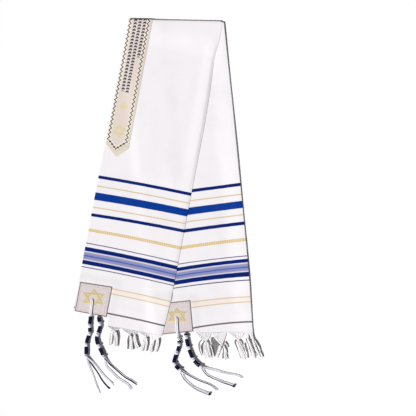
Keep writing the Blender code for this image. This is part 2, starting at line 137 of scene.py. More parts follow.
# Colours as seen in the photograph, in 8 bits a channel
SEEN = {
    "white": (246, 242, 245), "navy": (0, 33, 112), "royal": (0, 56, 148), "gold": (222, 203, 166),
    "tan": (226, 197, 140), "slate": (104, 100, 134), "periwinkle": (138, 147, 200),
    "deep": (78, 98, 164), "haze": (214, 210, 228), "mauve": (164, 156, 180), "peach": (250, 238, 230),
    "hem": (116, 108, 114), "band": (229, 217, 208), "band_edge": (226, 217, 203),
    "zigzag": (88, 70, 66), "bead": (196, 182, 158), "pocket": (246, 240, 226),
    "chevron": (20, 23, 62), "motif": (229, 212, 156), "patch": (231, 219, 216),
    "patch_edge": (126, 118, 120), "star": (221, 202, 150), "cord_white": (244, 243, 252),
    # The lower layers' yarn is the same white yarn painted grey: painted shade for the shadow the upper
    # layers cast on it.
    "cord_navy": (4, 10, 62), "yarn": (252, 249, 251), "shade_painted_yarn": (150, 146, 148),
    "thread": (168, 160, 164), "floor": (255, 255, 255),
}


def linear(name):
    """A seen colour as scene linear."""
    values = [channel / 255 for channel in SEEN[name]]
    return tuple(v / 12.92 if v <= 0.04045 else ((v + 0.055) / 1.055) ** 2.4 for v in values) + (1.0,)


# Plan and height of the folded sheet

def soft(value, none, full):
    """0 at none, 1 at full, with a soft start and end."""
    share = min(1.0, max(0.0, (value - none) / (full - none)))
    return share * share * (3 - 2 * share)


def downward(angle):
    """Direction down a strip that leans by this angle."""
    return np.array((-math.sin(angle), -math.cos(angle)))


DOWN = {side: downward(angle) for side, angle in LEAN.items()}
ACROSS = {side: np.array((math.cos(angle), -math.sin(angle))) for side, angle in LEAN.items()}
FOLD_AWAY = -downward((LEAN["front"] + LEAN["back"]) / 2)       # out of the crosswise fold


def plan(side, along, across):
    """Plan place of a distance along and across a strip."""
    return DOWN[side] * (along + TURN_RADIUS) + ACROSS[side] * across


def fold_slant(side):
    """Slope of the crosswise fold across one strip."""
    return -(FOLD_SLANT + FOLD_TURN) if side == "front" else FOLD_SLANT - FOLD_TURN


def edge_wander(side, along, across):
    """How far a point is carried across by its strip's uneven right edge."""
    at_edge = np.interp(along, *zip(*EDGE_WANDER[side])) * MM
    return float(at_edge) * (across / STRIP_WIDTH) ** 2


# What lies under the cloth and lifts it: its height, then from where to where, along and across the
# strip, the cloth rises onto it
BAND_RAISED, PATCH_RAISED = 1.3 * MM, 1.6 * MM
ALL_ACROSS = (1.0, 0.9)         # metres, far beyond the strip, so full right across it
LIFTS = {
    "under_back": ((BAND_RAISED, (0.495, 0.463), (0.104, 0.078)),
                   (PATCH_RAISED, (0.835, 0.856), (0.128, 0.106))),
    "over_back": ((BAND_RAISED, (0.520, 0.475), (0.125, 0.085)),
                  (2 * PATCH_RAISED, (0.815, 0.850), ALL_ACROSS)),
    "under_front": ((PATCH_RAISED, (0.770, 0.792), (0.128, 0.106)),),
}


def lift(layer, along, across):
    """Height that the neckband and the patches under a layer give it."""
    return max(rise * soft(along, *down) * soft(across, *right) for rise, down, right in LIFTS[layer])


# Low ridges that handling left in the cloth: middle along and across the strip, direction in
# degrees, half length and half width in metres, height in millimetres
RIDGES = {
    "front": (
        (0.10, 0.155, 78, 0.110, 0.018, 0.55), (0.20, 0.215, 96, 0.150, 0.022, 0.60),
        (0.335, 0.130, 84, 0.120, 0.020, 0.50), (0.43, 0.205, 62, 0.090, 0.016, 0.45),
        (0.62, 0.150, 88, 0.160, 0.024, 0.50), (0.70, 0.060, 82, 0.070, 0.015, 0.40),
        (0.76, 0.215, 100, 0.080, 0.018, 0.50), (0.86, 0.180, 8, 0.060, 0.010, 0.35),
    ),
    "back": (
        (0.40, 0.235, 84, 0.120, 0.012, 0.40), (0.66, 0.200, 92, 0.120, 0.020, 0.50),
        (0.78, 0.150, 80, 0.080, 0.018, 0.45), (0.87, 0.215, 12, 0.060, 0.010, 0.35),
    ),
}


def ridge_height(side, along, across):
    """Height of the low ridges, which fade out at the strip's edges."""
    height = 0.0
    for middle, beside, degrees, length, width, rise in RIDGES[side]:
        turn = math.radians(degrees)
        down, right = along - middle, across - beside
        run = (down * math.sin(turn) + right * math.cos(turn)) / length
        off = (right * math.sin(turn) - down * math.cos(turn)) / width
        if abs(run) < 1 and abs(off) < 3:
            height += rise * MM * (1 - run * run) ** 2 * math.exp(-off * off * 1.6)
    clear = soft(along, 0.0, 0.03) * soft(across, 0.0, 0.012) * soft(STRIP_WIDTH - across, 0.0, 0.02)
    return height * clear


def corner_drop(along, across):
    """The loose corner at the right end of the crosswise fold, rounded back down the strip."""
    share = max(0.0, (across - (STRIP_WIDTH - CORNER_REACH)) / CORNER_REACH)
    return CORNER_DROP * share ** 4 * (1 - min(1.0, abs(along) / CORNER_REACH)) ** 2


def side_puff(side, along, across):
    """Height at a strip's right edge, where the lengthwise fold isn't pressed flat."""
    if side == "front":
        crest = soft(across, STRIP_WIDTH - 0.042, STRIP_WIDTH - 0.012)
        crest *= soft(across, STRIP_WIDTH, STRIP_WIDTH - 0.009)
        return CREST * crest * (1 - 0.6 * soft(along, 0.30, 0.50)) * soft(along, 0.0, 0.05)
    open_share = 0.55 + 0.45 * math.sin(along * 17.0 + 0.6)
    return SIDE_PUFF * (0.7 + 0.3 * open_share) * soft(across, STRIP_WIDTH - 0.060, STRIP_WIDTH)


def level(side, along, across):
    """Height of the middle between a strip's two layers."""
    resting = (WALL + PITCH) / 2
    if side == "back":
        return resting + lift("under_back", along, across)
    flat = plan("front", along, across) - DOWN["back"] * TURN_RADIUS
    back_along = float(flat @ DOWN["back"])
    back_across = float(flat @ ACROSS["back"])
    lifted = soft(back_across, -0.040, -0.003)
    over = lifted * (2 * PITCH + lift("over_back", back_along, back_across))
    puff = TOP_PUFF * soft(along, TOP_PUFF_REACH, 0.0)
    return resting + over + lift("under_front", along, across) + puff


def place(row, across, offset):
    """A point of the folded sheet: a row, a distance across and an offset out of its middle."""
    kind, along, skew = row
    if kind != "fold":
        down = along + skew * across + corner_drop(along, across)
        spot = plan(kind, down, across + edge_wander(kind, down, across))
        out = offset if kind == "front" else -offset
        upper = min(1.0, max(0.0, out / (PITCH / 2)))
        relief = upper * (ridge_height(kind, down, across) + side_puff(kind, down, across))
        return (spot[0], spot[1], level(kind, down, across) + out + relief)
    drop = corner_drop(0.0, across)
    top = {side: FOLD_IN + drop + fold_slant(side) * across for side in SIDES}
    ends = [plan(side, top[side], across + edge_wander(side, top[side], across)) for side in SIDES]
    axis = ends[0] * (1 - along) + ends[1] * along
    front_z = level("front", top["front"], across)
    back_z = level("back", top["back"], across)
    radius = (front_z - back_z) / 2 + offset
    angle = along * math.pi
    away = FOLD_AWAY * (TURN_RADIUS + offset) * math.sin(angle)
    return (axis[0] + away[0], axis[1] + away[1],
            (front_z + back_z) / 2 + radius * math.cos(angle))


def strip_rows(side, far, spacing):
    """Rows from far down the strip up to the fold, slanting only near the fold."""
    count = max(1, round((far - FOLD_IN) / spacing))
    places = [far + (FOLD_IN - far) * step / count for step in range(count + 1)]
    return [(side, along, fold_slant(side) * (1 - min(1.0, along / SQUARE_FROM))) for along in places]


def folded_rows(far, spacing, steps=9):
    """Rows from far down the front strip, round the crosswise fold and far down the back strip."""
    fold = [("fold", step / steps, 0.0) for step in range(1, steps)]
    back = strip_rows("back", far["back"], spacing)
    return strip_rows("front", far["front"], spacing) + fold + back[::-1]


def cloth_shift():
    """From plan places to the frame: the cloth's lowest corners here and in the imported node."""
    hems = [plan("front", PATCH_BOTTOM["front"], 0.0)]
    for side in SIDES:
        end = HEADER_END[side] + HEADER_SLOPE[side] * STRIP_WIDTH
        hems.append(plan(side, end, STRIP_WIDTH))
    low = np.min(np.array(hems), axis=0)
    node_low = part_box("shawl_cloth")[0]
    return Vector((node_low[0] - low[0], node_low[1] - low[1], 0.0))


SHIFT = cloth_shift()


# Mesh makers

def make_object(name, points, faces, look, uvs, smooth):
    """A closed mesh in the frame's place, with one UV pair a face corner, in the order of the faces."""
    mesh = bpy.data.meshes.new(name)
    mesh.from_pydata([tuple(Vector(point) + SHIFT) for point in points], [], faces)
    layer = mesh.uv_layers.new(name="pattern")
    layer.data.foreach_set("uv", np.array(uvs, dtype=np.float32).ravel())
    mesh.materials.append(look)
    mesh.shade_smooth()
    mesh.set_sharp_from_angle(angle=math.radians(smooth))
    item = bpy.data.objects.new(name, mesh)
    bpy.context.scene.collection.objects.link(item)
    work = bmesh.new()
    work.from_mesh(mesh)
    bmesh.ops.delete(work, geom=[v for v in work.verts if not v.link_faces], context="VERTS")
    if work.calc_volume(signed=True) < 0:
        bmesh.ops.reverse_faces(work, faces=work.faces)
    work.to_mesh(mesh)
    work.free()
    return item


def closed_wall(name, grid, look, cells=None):
    """Closed wall between a grid's outer and inner points, over all its cells or the ones given.

    Each spot of the grid holds its outer point, its inner point and its UV pair.
    """
    height, width = len(grid), len(grid[0])
    cells = cells or {(i, j) for i in range(height - 1) for j in range(width - 1)}
    points = [spot[face] for face in (0, 1) for row in grid for spot in row]
    faces, uvs = [], []

    def quad(corners):
        faces.append([(face * height + i) * width + j for face, i, j in corners])
        uvs.extend(grid[i][j][2] for _, i, j in corners)

    for i, j in sorted(cells):
        ring = ((i, j), (i, j + 1), (i + 1, j + 1), (i + 1, j))
        quad([(0, *spot) for spot in ring])
        quad([(1, *spot) for spot in reversed(ring)])
        beyond = ((i - 1, j), (i, j + 1), (i + 1, j), (i, j - 1))
        for edge, neighbour in enumerate(beyond):
            if neighbour not in cells:
                start, end = ring[edge], ring[(edge + 1) % 4]
                quad([(0, *end), (0, *start), (1, *start), (1, *end)])
    return make_object(name, points, faces, look, uvs, smooth=40)


def distances(route):
    """Distance travelled along a route at each of its points."""
    steps = np.linalg.norm(np.diff(route, axis=0), axis=1)
    return np.concatenate(([0.0], np.cumsum(steps)))


def sample(values, travelled, wanted):
    """Points or directions given at the distances travelled, read at the distances wanted."""
    return np.stack([np.interp(wanted, travelled, values[:, axis]) for axis in range(3)], axis=1)


def smooth_route(route, spacing):
    """Points at an even spacing on a smooth curve through a route's points."""
    route = [np.array(point, dtype=float) for point in route]
    padded = [2 * route[0] - route[1]] + route + [2 * route[-1] - route[-2]]
    fine = []
    for k in range(1, len(padded) - 2):
        before, start, end, after = padded[k - 1:k + 3]
        for step in range(12):
            t = step / 12
            fine.append(0.5 * (2 * start + (end - before) * t
                               + (2 * before - 5 * start + 4 * end - after) * t ** 2
                               + (3 * start - before - 3 * end + after) * t ** 3))
    fine = np.array(fine + [route[-1]])
    travelled = distances(fine)
    count = max(2, round(travelled[-1] / spacing))
    return sample(fine, travelled, np.linspace(0.0, travelled[-1], count + 1))


def route_frame(route):
    """Directions ahead, to the right and up at each point of a route."""
    ahead = np.gradient(route, axis=0)
    ahead /= np.linalg.norm(ahead, axis=1)[:, None]
    right = np.cross(ahead, (0.0, 0.0, 1.0))
    right /= np.linalg.norm(right, axis=1)[:, None]
    return ahead, right, np.cross(right, ahead)


def new_store():
    return {"points": [], "faces": [], "uvs": []}


def tube(store, route, radius, sides, closed=False):
    """Add a tube along a route to a store of points, faces and UVs. radius is a number or a list."""
    route = np.asarray(route, dtype=float)
    count = len(route)
    radii = np.full(count, radius) if np.isscalar(radius) else np.asarray(radius)
    if closed:
        ahead = np.roll(route, -1, axis=0) - np.roll(route, 1, axis=0)
    else:
        ahead = np.gradient(route, axis=0)
    ahead /= np.linalg.norm(ahead, axis=1)[:, None]
    right = np.cross(ahead, (0.0, 0.0, 1.0))
    upright = np.linalg.norm(right, axis=1) < 0.05
    right[upright] = np.cross(ahead[upright], (1.0, 0.0, 0.0))
    right /= np.linalg.norm(right, axis=1)[:, None]
    up = np.cross(right, ahead)
    angles = np.arange(sides) * math.tau / sides
    ring = (right[:, None, :] * np.cos(angles)[None, :, None]
            + up[:, None, :] * np.sin(angles)[None, :, None])
    base = len(store["points"])
    store["points"].extend((route[:, None, :] + ring * radii[:, None, None]).reshape(-1, 3))
    travelled = distances(route)
    for k in range(count if closed else count - 1):
        after = (k + 1) % count
        far = travelled[after] if after else travelled[k] + travelled[1]
        for side in range(sides):
            beside = (side + 1) % sides
            store["faces"].append((base + k * sides + side, base + k * sides + beside,
                                   base + after * sides + beside, base + after * sides + side))
            low, high = side / sides, (side + 1) / sides
            store["uvs"].extend(((low, travelled[k]), (high, travelled[k]), (high, far), (low, far)))
    if not closed:
        for end, order in ((0, -1), (count - 1, 1)):
            store["faces"].append(tuple(base + end * sides + side for side in range(sides))[::order])
            store["uvs"].extend([(0.0, travelled[end])] * sides)


def tube_object(name, store, look):
    return make_object(name, store["points"], store["faces"], look, store["uvs"], smooth=70)


def join(items, name):
    """Join finished meshes into the first one and name it."""
    bpy.ops.object.select_all(action="DESELECT")
    for item in items:
        item.select_set(True)
    bpy.context.view_layer.objects.active = items[0]
    bpy.ops.object.join()
    items[0].name = name
    items[0].data.name = name
    return items[0]


def apply_modifiers(item):
    """Make what a piece's modifiers show its own mesh."""
    bpy.context.view_layer.update()
    shown = item.evaluated_get(bpy.context.evaluated_depsgraph_get())
    mesh = bpy.data.meshes.new_from_object(shown)
    item.modifiers.clear()
    item.data = mesh


# Shader nodes

class Nodes:
    """A shader tree with short ways to add and link nodes."""

    def __init__(self, tree):
        self.tree = tree

    def new(self, kind, **settings):
        node = self.tree.nodes.new(kind)
        for name, value in settings.items():
            setattr(node, name, value)
        return node

    def feed(self, socket, value):
        if isinstance(value, bpy.types.NodeSocket):
            self.tree.links.new(value, socket)
        else:
            socket.default_value = value

    def math(self, operation, first, second=0.0, clamp=False):
        node = self.new("ShaderNodeMath", operation=operation, use_clamp=clamp)
        self.feed(node.inputs[0], first)
        self.feed(node.inputs[1], second)
        return node.outputs[0]

    def plus(self, first, second, clamp=False):
        return self.math("ADD", first, second, clamp)

    def minus(self, first, second, clamp=False):
        return self.math("SUBTRACT", first, second, clamp)

    def times(self, first, second, clamp=False):
        return self.math("MULTIPLY", first, second, clamp)

    def mix(self, factor, first, second):
        node = self.new("ShaderNodeMix", data_type="RGBA")
        self.feed(node.inputs[0], factor)
        self.feed(node.inputs[6], first)
        self.feed(node.inputs[7], second)
        return node.outputs[2]

    def noise(self, vector, scale, detail=2.0):
        node = self.new("ShaderNodeTexNoise")
        self.feed(node.inputs["Vector"], vector)
        node.inputs["Scale"].default_value = scale
        node.inputs["Detail"].default_value = detail
        return node.outputs["Fac"]

    def join_xyz(self, x, y, z=0.0):
        node = self.new("ShaderNodeCombineXYZ")
        for socket, value in zip(node.inputs, (x, y, z)):
            self.feed(socket, value)
        return node.outputs[0]

    def pattern_uv(self):
        """Across and along of the piece's own UV map, in metres."""
        source = self.new("ShaderNodeUVMap", uv_map="pattern")
        split = self.new("ShaderNodeSeparateXYZ")
        self.feed(split.inputs[0], source.outputs[0])
        return split.outputs[0], split.outputs[1]

    def group(self, tree, **values):
        node = self.new("ShaderNodeGroup")
        node.node_tree = tree
        for name, value in values.items():
            self.feed(node.inputs[name], value)
        return node.outputs


def shader_group(name, inputs, outputs):
    """An empty group with its sockets, and its nodes to build in."""
    tree = bpy.data.node_groups.new(name, "ShaderNodeTree")
    for way, sockets in (("INPUT", inputs), ("OUTPUT", outputs)):
        for label, kind in sockets:
            tree.interface.new_socket(name=label, in_out=way, socket_type=f"NodeSocket{kind}")
    nodes = Nodes(tree)
    return tree, nodes, nodes.new("NodeGroupInput").outputs, nodes.new("NodeGroupOutput").inputs


def stripe_group():
    """Colour of a woven stripe laid over a ground, with a slightly uneven edge."""
    tree, nodes, given, out = shader_group(
        "woven_stripe",
        (("Ground", "Color"), ("Stripe", "Color"), ("Place", "Float"), ("Centre", "Float"),
         ("Width", "Float"), ("Edge", "Float")),
        (("Color", "Color"), ("Mask", "Float")))
    away = nodes.math("ABSOLUTE", nodes.minus(given["Place"], given["Centre"]))
    inside = nodes.minus(nodes.times(given["Width"], 0.5), away)
    mask = nodes.plus(nodes.math("DIVIDE", inside, given["Edge"]), 0.5, clamp=True)
    nodes.feed(out["Color"], nodes.mix(mask, given["Ground"], given["Stripe"]))
    nodes.feed(out["Mask"], mask)
    return tree


def weave_group():
    """Height of a plain weave, and the streaky shade of its uneven threads."""
    tree, nodes, given, out = shader_group(
        "plain_weave",
        (("Across", "Float"), ("Along", "Float"), ("Pitch", "Float")),
        (("Height", "Float"), ("Shade", "Float")))
    turns = nodes.math("DIVIDE", math.tau / 2, given["Pitch"])
    warp = nodes.math("SINE", nodes.times(given["Across"], turns))
    weft = nodes.math("SINE", nodes.times(given["Along"], turns))
    nodes.feed(out["Height"], nodes.times(warp, weft))
    streaks = [nodes.noise(nodes.join_xyz(nodes.times(given["Across"], across),
                                          nodes.times(given["Along"], along)), 1.0)
               for across, along in ((900.0, 25.0), (25.0, 900.0))]
    nodes.feed(out["Shade"], nodes.times(nodes.plus(*streaks), 0.5))
    return tree


STRIPE = stripe_group()
WEAVE = weave_group()


def fabric(name, roughness=0.85, sheen=0.02):
    """A new cloth material, with its nodes and its shader."""
    look = bpy.data.materials.new(name)
    look.use_nodes = True
    shader = look.node_tree.nodes["Principled BSDF"]
    shader.inputs["Roughness"].default_value = roughness
    shader.inputs["Sheen Weight"].default_value = sheen
    shader.inputs["Sheen Roughness"].default_value = 0.5
    shader.inputs["Specular IOR Level"].default_value = 0.05
    return look, Nodes(look.node_tree), shader


def stripe(nodes, ground, name, at, centre, width, edge):
    """A stripe in a named colour over a ground: the group's outputs Color and Mask."""
    return nodes.group(STRIPE, Ground=ground, Stripe=linear(name), Place=at, Centre=centre,
                       Width=width, Edge=edge)


def add_bump(nodes, shader, height, distance):
    """Relief of a look. distance is what a height of one stands for, in metres."""
    bump = nodes.new("ShaderNodeBump")
    bump.inputs["Distance"].default_value = distance
    bump.inputs["Strength"].default_value = 1.0
    nodes.feed(bump.inputs["Height"], height)
    nodes.feed(shader.inputs["Normal"], bump.outputs[0])


def shaded(nodes, colour, shade, depth):
    """A colour darkened a little where the shade is low."""
    dark = nodes.times(nodes.minus(0.60, shade, clamp=True), depth, clamp=True)
    return nodes.mix(dark, colour, (0.12, 0.10, 0.13, 1.0))


LINE_EDGE = 0.7 * MM            # softness of the woven lines' edges
LINE_WANDER = 1.2 * MM          # how far a line's course varies
RUNG_PERIOD, RUNG_START = 3.2 * MM, 2.2 * MM    # paler rungs across the middle of the tan stripe
RUNG_LENGTH = 5.6 * MM


def cloth_look():
    """The woven cloth: its stripes, fine lines and hem line, with a faint mottle."""
    look, nodes, shader = fabric("woven_cloth")
    across, along = nodes.pattern_uv()
    wander = nodes.noise(nodes.join_xyz(nodes.times(across, 60.0), along), 1.0)
    line = nodes.plus(along, nodes.times(nodes.minus(wander, 0.5), LINE_WANDER))
    colour = linear("white")
    inside = nodes.math("GREATER_THAN", across, LAST_LINES_START)
    *woven, hem = [(name, front_left, width) for name, front_left, _, _, _, width in STRIPES]
    for name, centre, width in woven + list(FINE_LINES):
        shown = nodes.times(inside, width * MM) if centre > LAST_LINES else width * MM
        colour = stripe(nodes, colour, name, line, centre * MM, shown, LINE_EDGE)["Color"]
    hem_line = stripe(nodes, colour, hem[0], line, hem[1] * MM, hem[2] * MM, LINE_EDGE)
    colour = hem_line["Color"]
    weave = nodes.group(WEAVE, Across=across, Along=along, Pitch=0.9 * MM)
    cloudy = nodes.noise(nodes.new("ShaderNodeTexCoord").outputs["Object"], 9.0, 3.0)
    rung = nodes.math("GREATER_THAN", nodes.math("PINGPONG", across, RUNG_PERIOD), RUNG_START)
    tan_centre = next(centre for name, centre, _ in woven if name == "tan")
    in_tan = stripe(nodes, colour, "tan", line, tan_centre * MM, RUNG_LENGTH, LINE_EDGE)["Mask"]
    colour = nodes.mix(nodes.times(nodes.times(rung, in_tan), 0.55), colour, linear("peach"))
    colour = shaded(nodes, colour, weave["Shade"], 0.16)
    colour = nodes.mix(nodes.times(nodes.minus(cloudy, 0.5, clamp=True), 0.22), colour, linear("hem"))
    nodes.feed(shader.inputs["Base Color"], colour)
    height = nodes.plus(nodes.times(weave["Height"], 0.35), weave["Shade"])
    height = nodes.plus(height, nodes.times(hem_line["Mask"], 1.5))
    add_bump(nodes, shader, height, 0.05 * MM)
    return look


# Lines of the neckband's border, in millimetres: colour, middle in from the edge, swing to each side,
# distance from tooth to tooth, and width
BORDER_LINES = (
    ("bead", 2.0, 0.9, 5.4, 1.4), ("pocket", 4.2, 2.0, 13.2, 3.0),
    ("pocket", 12.2, 2.0, 13.2, 3.0), ("zigzag", 8.2, 3.7, 13.2, 3.9),
)
CREAM_WIDTH = 16.0 * MM         # of the paler ground under the border, half of it within the edge
# Rows of chevrons: middle across in millimetres, start from the band's point in metres, and half of
# the distance from one to the next in millimetres
CHEVRON_ROWS = ((-14.6, 0.196, 4.9), (-1.0, 0.192, 4.5), (13.0, 0.300, 4.7))
CHEVRON_HALF = 4.6 * MM         # half the width of a row
CHEVRON_SLANT = 2.4 * MM        # how far a chevron's ends trail its middle
CHEVRON_BODY = 0.60             # share of a row's length that is dark
# Gold motifs: a lozenge of two rings and a six-pointed star, at these distances from the point
LOZENGE_PLACE = 153.0 * MM
LOZENGE_RINGS = ((5.0, 7.0, 0.85), (13.0, 4.4, 0.75))     # reach and width in mm, and strength
SMALL_STAR_PLACE = 79.0 * MM
SMALL_STAR_REACH, SMALL_STAR_BAR = 8.6 * MM, 4.0 * MM


def border_lines(nodes, colour, depth, run, calm):
    """Lines that swing along the band's edge: depth in from it, run along it, calm makes them lower."""
    colour = stripe(nodes, colour, "band_edge", depth, 0.0, CREAM_WIDTH, 1.0 * MM)["Color"]
    for name, centre, swing, period, width in BORDER_LINES:
        tooth = nodes.math("PINGPONG", run, period / 2 * MM)
        tooth = nodes.minus(nodes.times(tooth, 4 * swing / period), swing * MM)
        line = nodes.plus(nodes.times(tooth, calm), centre * MM)
        colour = stripe(nodes, colour, name, nodes.minus(depth, line), 0.0, width * MM,
                        0.6 * MM)["Color"]
    return colour


def chevron_rows(nodes, colour, across, from_point):
    """Rows of dark chevrons, each from its start on to the crosswise fold."""
    for centre, start, beat_length in CHEVRON_ROWS:
        off = nodes.math("DIVIDE", nodes.math("ABSOLUTE", nodes.minus(across, centre * MM)),
                         CHEVRON_HALF)
        slanted = nodes.plus(from_point, nodes.times(off, CHEVRON_SLANT))
        beat = nodes.math("DIVIDE", nodes.math("PINGPONG", slanted, beat_length * MM),
                          beat_length * MM)
        in_row = nodes.math("LESS_THAN", off, 1.0)
        body = nodes.times(nodes.math("LESS_THAN", beat, CHEVRON_BODY), in_row)
        mask = nodes.times(body, nodes.math("GREATER_THAN", from_point, start))
        colour = nodes.mix(nodes.times(mask, 0.92), colour, linear("chevron"))
    return colour


def gold_motifs(nodes, colour, away, from_point):
    """A lozenge of two rings, and a star of two crossed triangles."""
    up = nodes.math("ABSOLUTE", nodes.minus(from_point, LOZENGE_PLACE))
    lattice = nodes.plus(nodes.times(away, 1.2), up)
    for reach, width, strength in LOZENGE_RINGS:
        ring = stripe(nodes, colour, "motif", lattice, reach * MM, width * MM, 1.2 * MM)
        colour = nodes.mix(strength, colour, ring["Color"])
    star_up = nodes.minus(from_point, SMALL_STAR_PLACE)
    for turn in (1, -1):
        tilted = nodes.plus(nodes.times(away, math.cos(math.pi / 6)), nodes.times(star_up, 0.5 * turn))
        reach = nodes.math("MAXIMUM", tilted, nodes.times(star_up, -turn))
        ring = stripe(nodes, colour, "motif", reach, SMALL_STAR_REACH, SMALL_STAR_BAR, 0.8 * MM)
        colour = nodes.mix(0.85, colour, ring["Color"])
    return colour


def band_look():
    """The neckband: zigzag lines that follow its edge, rows of chevrons and two small gold motifs."""
    look, nodes, shader = fabric("neckband_cloth", sheen=0.08)
    across, length = nodes.pattern_uv()
    away = nodes.math("ABSOLUTE", nodes.plus(across, PATTERN_OFF_MIDDLE))
    from_point = nodes.math("MINIMUM", length, nodes.minus(BAND_LENGTH, length))
    slope = math.hypot(BAND_HALF, POINT_LENGTH)
    side_edge = nodes.minus(BAND_HALF, away)
    point_edge = nodes.minus(nodes.times(from_point, BAND_HALF / slope),
                             nodes.times(away, POINT_LENGTH / slope))
    point_edge = nodes.minus(point_edge, POINT_MARGIN)
    on_point = nodes.math("LESS_THAN", point_edge, side_edge)
    run_side = nodes.plus(from_point, slope - POINT_LENGTH)
    run_point = nodes.times(away, slope / BAND_HALF * POINT_PITCH)
    run = nodes.plus(nodes.times(run_point, on_point),
                     nodes.times(run_side, nodes.minus(1.0, on_point)))
    calm = nodes.minus(1.0, nodes.times(on_point, POINT_CALM))
    depth = nodes.math("MINIMUM", side_edge, point_edge)
    colour = border_lines(nodes, linear("band"), depth, run, calm)
    colour = chevron_rows(nodes, colour, across, from_point)
    colour = gold_motifs(nodes, colour, away, from_point)
    weave = nodes.group(WEAVE, Across=across, Along=length, Pitch=0.8 * MM)
    nodes.feed(shader.inputs["Base Color"], shaded(nodes, colour, weave["Shade"], 0.2))
    height = nodes.plus(nodes.times(weave["Height"], 0.4), weave["Shade"])
    add_bump(nodes, shader, height, 0.07 * MM)
    return look


DIAPER = 2.4 * MM               # half the period of the patches' diagonal check
# Mottle of the patches: place of its noise, colour and strength
FLECKS = ((0.0, "patch_edge", 1.8), (7.0, "peach", 2.6), (13.0, "haze", 3.2))


def patch_look():
    """A patch's ground: a fine diagonal check with a light mottle."""
    look, nodes, shader = fabric("patch_cloth", roughness=0.6, sheen=0.1)
    across, along = nodes.pattern_uv()
    slants = [nodes.math("PINGPONG", crossed, DIAPER)
              for crossed in (nodes.plus(across, along), nodes.minus(across, along))]
    diaper = nodes.math("DIVIDE", nodes.math("MINIMUM", *slants), DIAPER)
    weave = nodes.group(WEAVE, Across=across, Along=along, Pitch=0.7 * MM)
    colour = nodes.mix(nodes.times(nodes.math("LESS_THAN", diaper, 0.25), 0.10),
                       linear("patch"), linear("patch_edge"))
    for seed, name, strength in FLECKS:
        spot = nodes.join_xyz(across, along, seed)
        fleck = nodes.minus(nodes.noise(spot, 330.0, 1.0), 0.52, clamp=True)
        colour = nodes.mix(nodes.times(fleck, strength, clamp=True), colour, linear(name))
    nodes.feed(shader.inputs["Base Color"], shaded(nodes, colour, weave["Shade"], 0.18))
    add_bump(nodes, shader, nodes.plus(weave["Height"], diaper), 0.07 * MM)
    return look


def thread_look(name, colour, pitch, twist=1.0, sheen=0.1, depth=0.30):
    """Twisted thread or cord on a tube's own UV: once round across, metres along."""
    look, nodes, shader = fabric(name, roughness=0.7, sheen=sheen)
    around, along = nodes.pattern_uv()
    turn = nodes.plus(nodes.times(around, math.tau * twist), nodes.times(along, math.tau / pitch))
    ply = nodes.plus(nodes.times(nodes.math("SINE", turn), 0.5), 0.5)
    patchy = nodes.noise(nodes.join_xyz(around, nodes.times(along, 300.0)), 1.0)
    # The grooves between the plies are darkened: painted shade. The patchy noise is uneven tone of the
    # cord.
    shade = nodes.plus(nodes.times(ply, 0.5), nodes.times(patchy, 0.4))
    nodes.feed(shader.inputs["Base Color"], shaded(nodes, linear(colour), shade, depth))
    add_bump(nodes, shader, ply, 0.12 * MM)
    return look


SATIN_THREAD = 0.45 * MM


def star_look():
    """Satin stitches that lie across the bar they fill."""
    look, nodes, shader = fabric("star_stitching", roughness=0.45, sheen=0.3)
    across, along = nodes.pattern_uv()
    rib = nodes.math("DIVIDE", nodes.math("PINGPONG", along, SATIN_THREAD), SATIN_THREAD)
    patchy = nodes.noise(nodes.join_xyz(nodes.times(across, 80.0), nodes.times(along, 900.0)), 1.0)
    # The dips between the satin threads are darkened: painted shade. The patchy noise is uneven tone of
    # the thread.
    shade = nodes.plus(nodes.times(rib, 0.35), nodes.times(patchy, 0.55))
    nodes.feed(shader.inputs["Base Color"], shaded(nodes, linear("star"), shade, 0.3))
    add_bump(nodes, shader, rib, 0.12 * MM)
    return look


def floor_look():
    """A near-white floor with the faintest grain."""
    look, nodes, shader = fabric("pale_floor", roughness=0.95, sheen=0.0)
    place_3d = nodes.new("ShaderNodeTexCoord").outputs["Object"]
    grain = nodes.times(nodes.noise(place_3d, 40.0), 0.01)
    nodes.feed(shader.inputs["Base Color"], nodes.mix(grain, linear("floor"), linear("patch")))
    return look


# Cloth

def pattern_along(side, along, across):
    """Place in the woven pattern: the front strip's left edge sets it, the rest is stretched to fit."""
    share = across / STRIP_WIDTH
    bow = np.interp(along, *zip(*BOW[side])) * MM
    along += float(bow) * 4 * share * (1 - share)
    first = 1 if side == "front" else 3
    here = [(row[first] * (1 - share) + row[first + 1] * share) * MM for row in STRIPES]
    there = [row[1] * MM for row in STRIPES]
    if along < here[0]:
        return there[0] - (here[0] - along)
    if along > here[-1]:
        return there[-1] + (along - here[-1])
    return float(np.interp(along, here, there))


def side_fold_path(spacing):
    """Across, offset and pattern place round the doubled strip, for the outer and the inner face."""
    outer = PITCH / 2 + WALL / 2
    inner = PITCH / 2 - WALL / 2
    middle = STRIP_WIDTH - SIDE_FOLD
    count = round(middle / spacing)
    by_fold = {middle - gap * MM for gap in (1.5, 3.0, 5.0, 7.5, 10.5, 14.0)}
    even = {round(middle * k / count, 6) for k in range(count + 1)}
    flat = sorted({spot for spot in even if spot < middle - 0.016 or spot == max(even)}
                  | by_fold | {HEADER_LEFT})
    path = [(across, outer, across, inner) for across in flat[:-1]]
    for step in range(SIDE_FOLD_STEPS + 1):
        angle = math.pi * step / SIDE_FOLD_STEPS
        path.append((middle + SIDE_FOLD * math.sin(angle), outer * math.cos(angle),
                     middle + (SIDE_FOLD - WALL) * math.sin(angle), inner * math.cos(angle)))
    path += [(across, -outer, across, -inner) for across in reversed(flat[:-1])]
    return path, len(flat), flat.index(HEADER_LEFT)


def row_pattern(row, across):
    """Place in the woven pattern of a row's point."""
    kind, along, skew = row
    if kind == "fold":
        side = "front" if along < 0.5 else "back"
        return pattern_along(side, fold_slant(side) * across, across)
    return pattern_along(kind, along + skew * across, across)


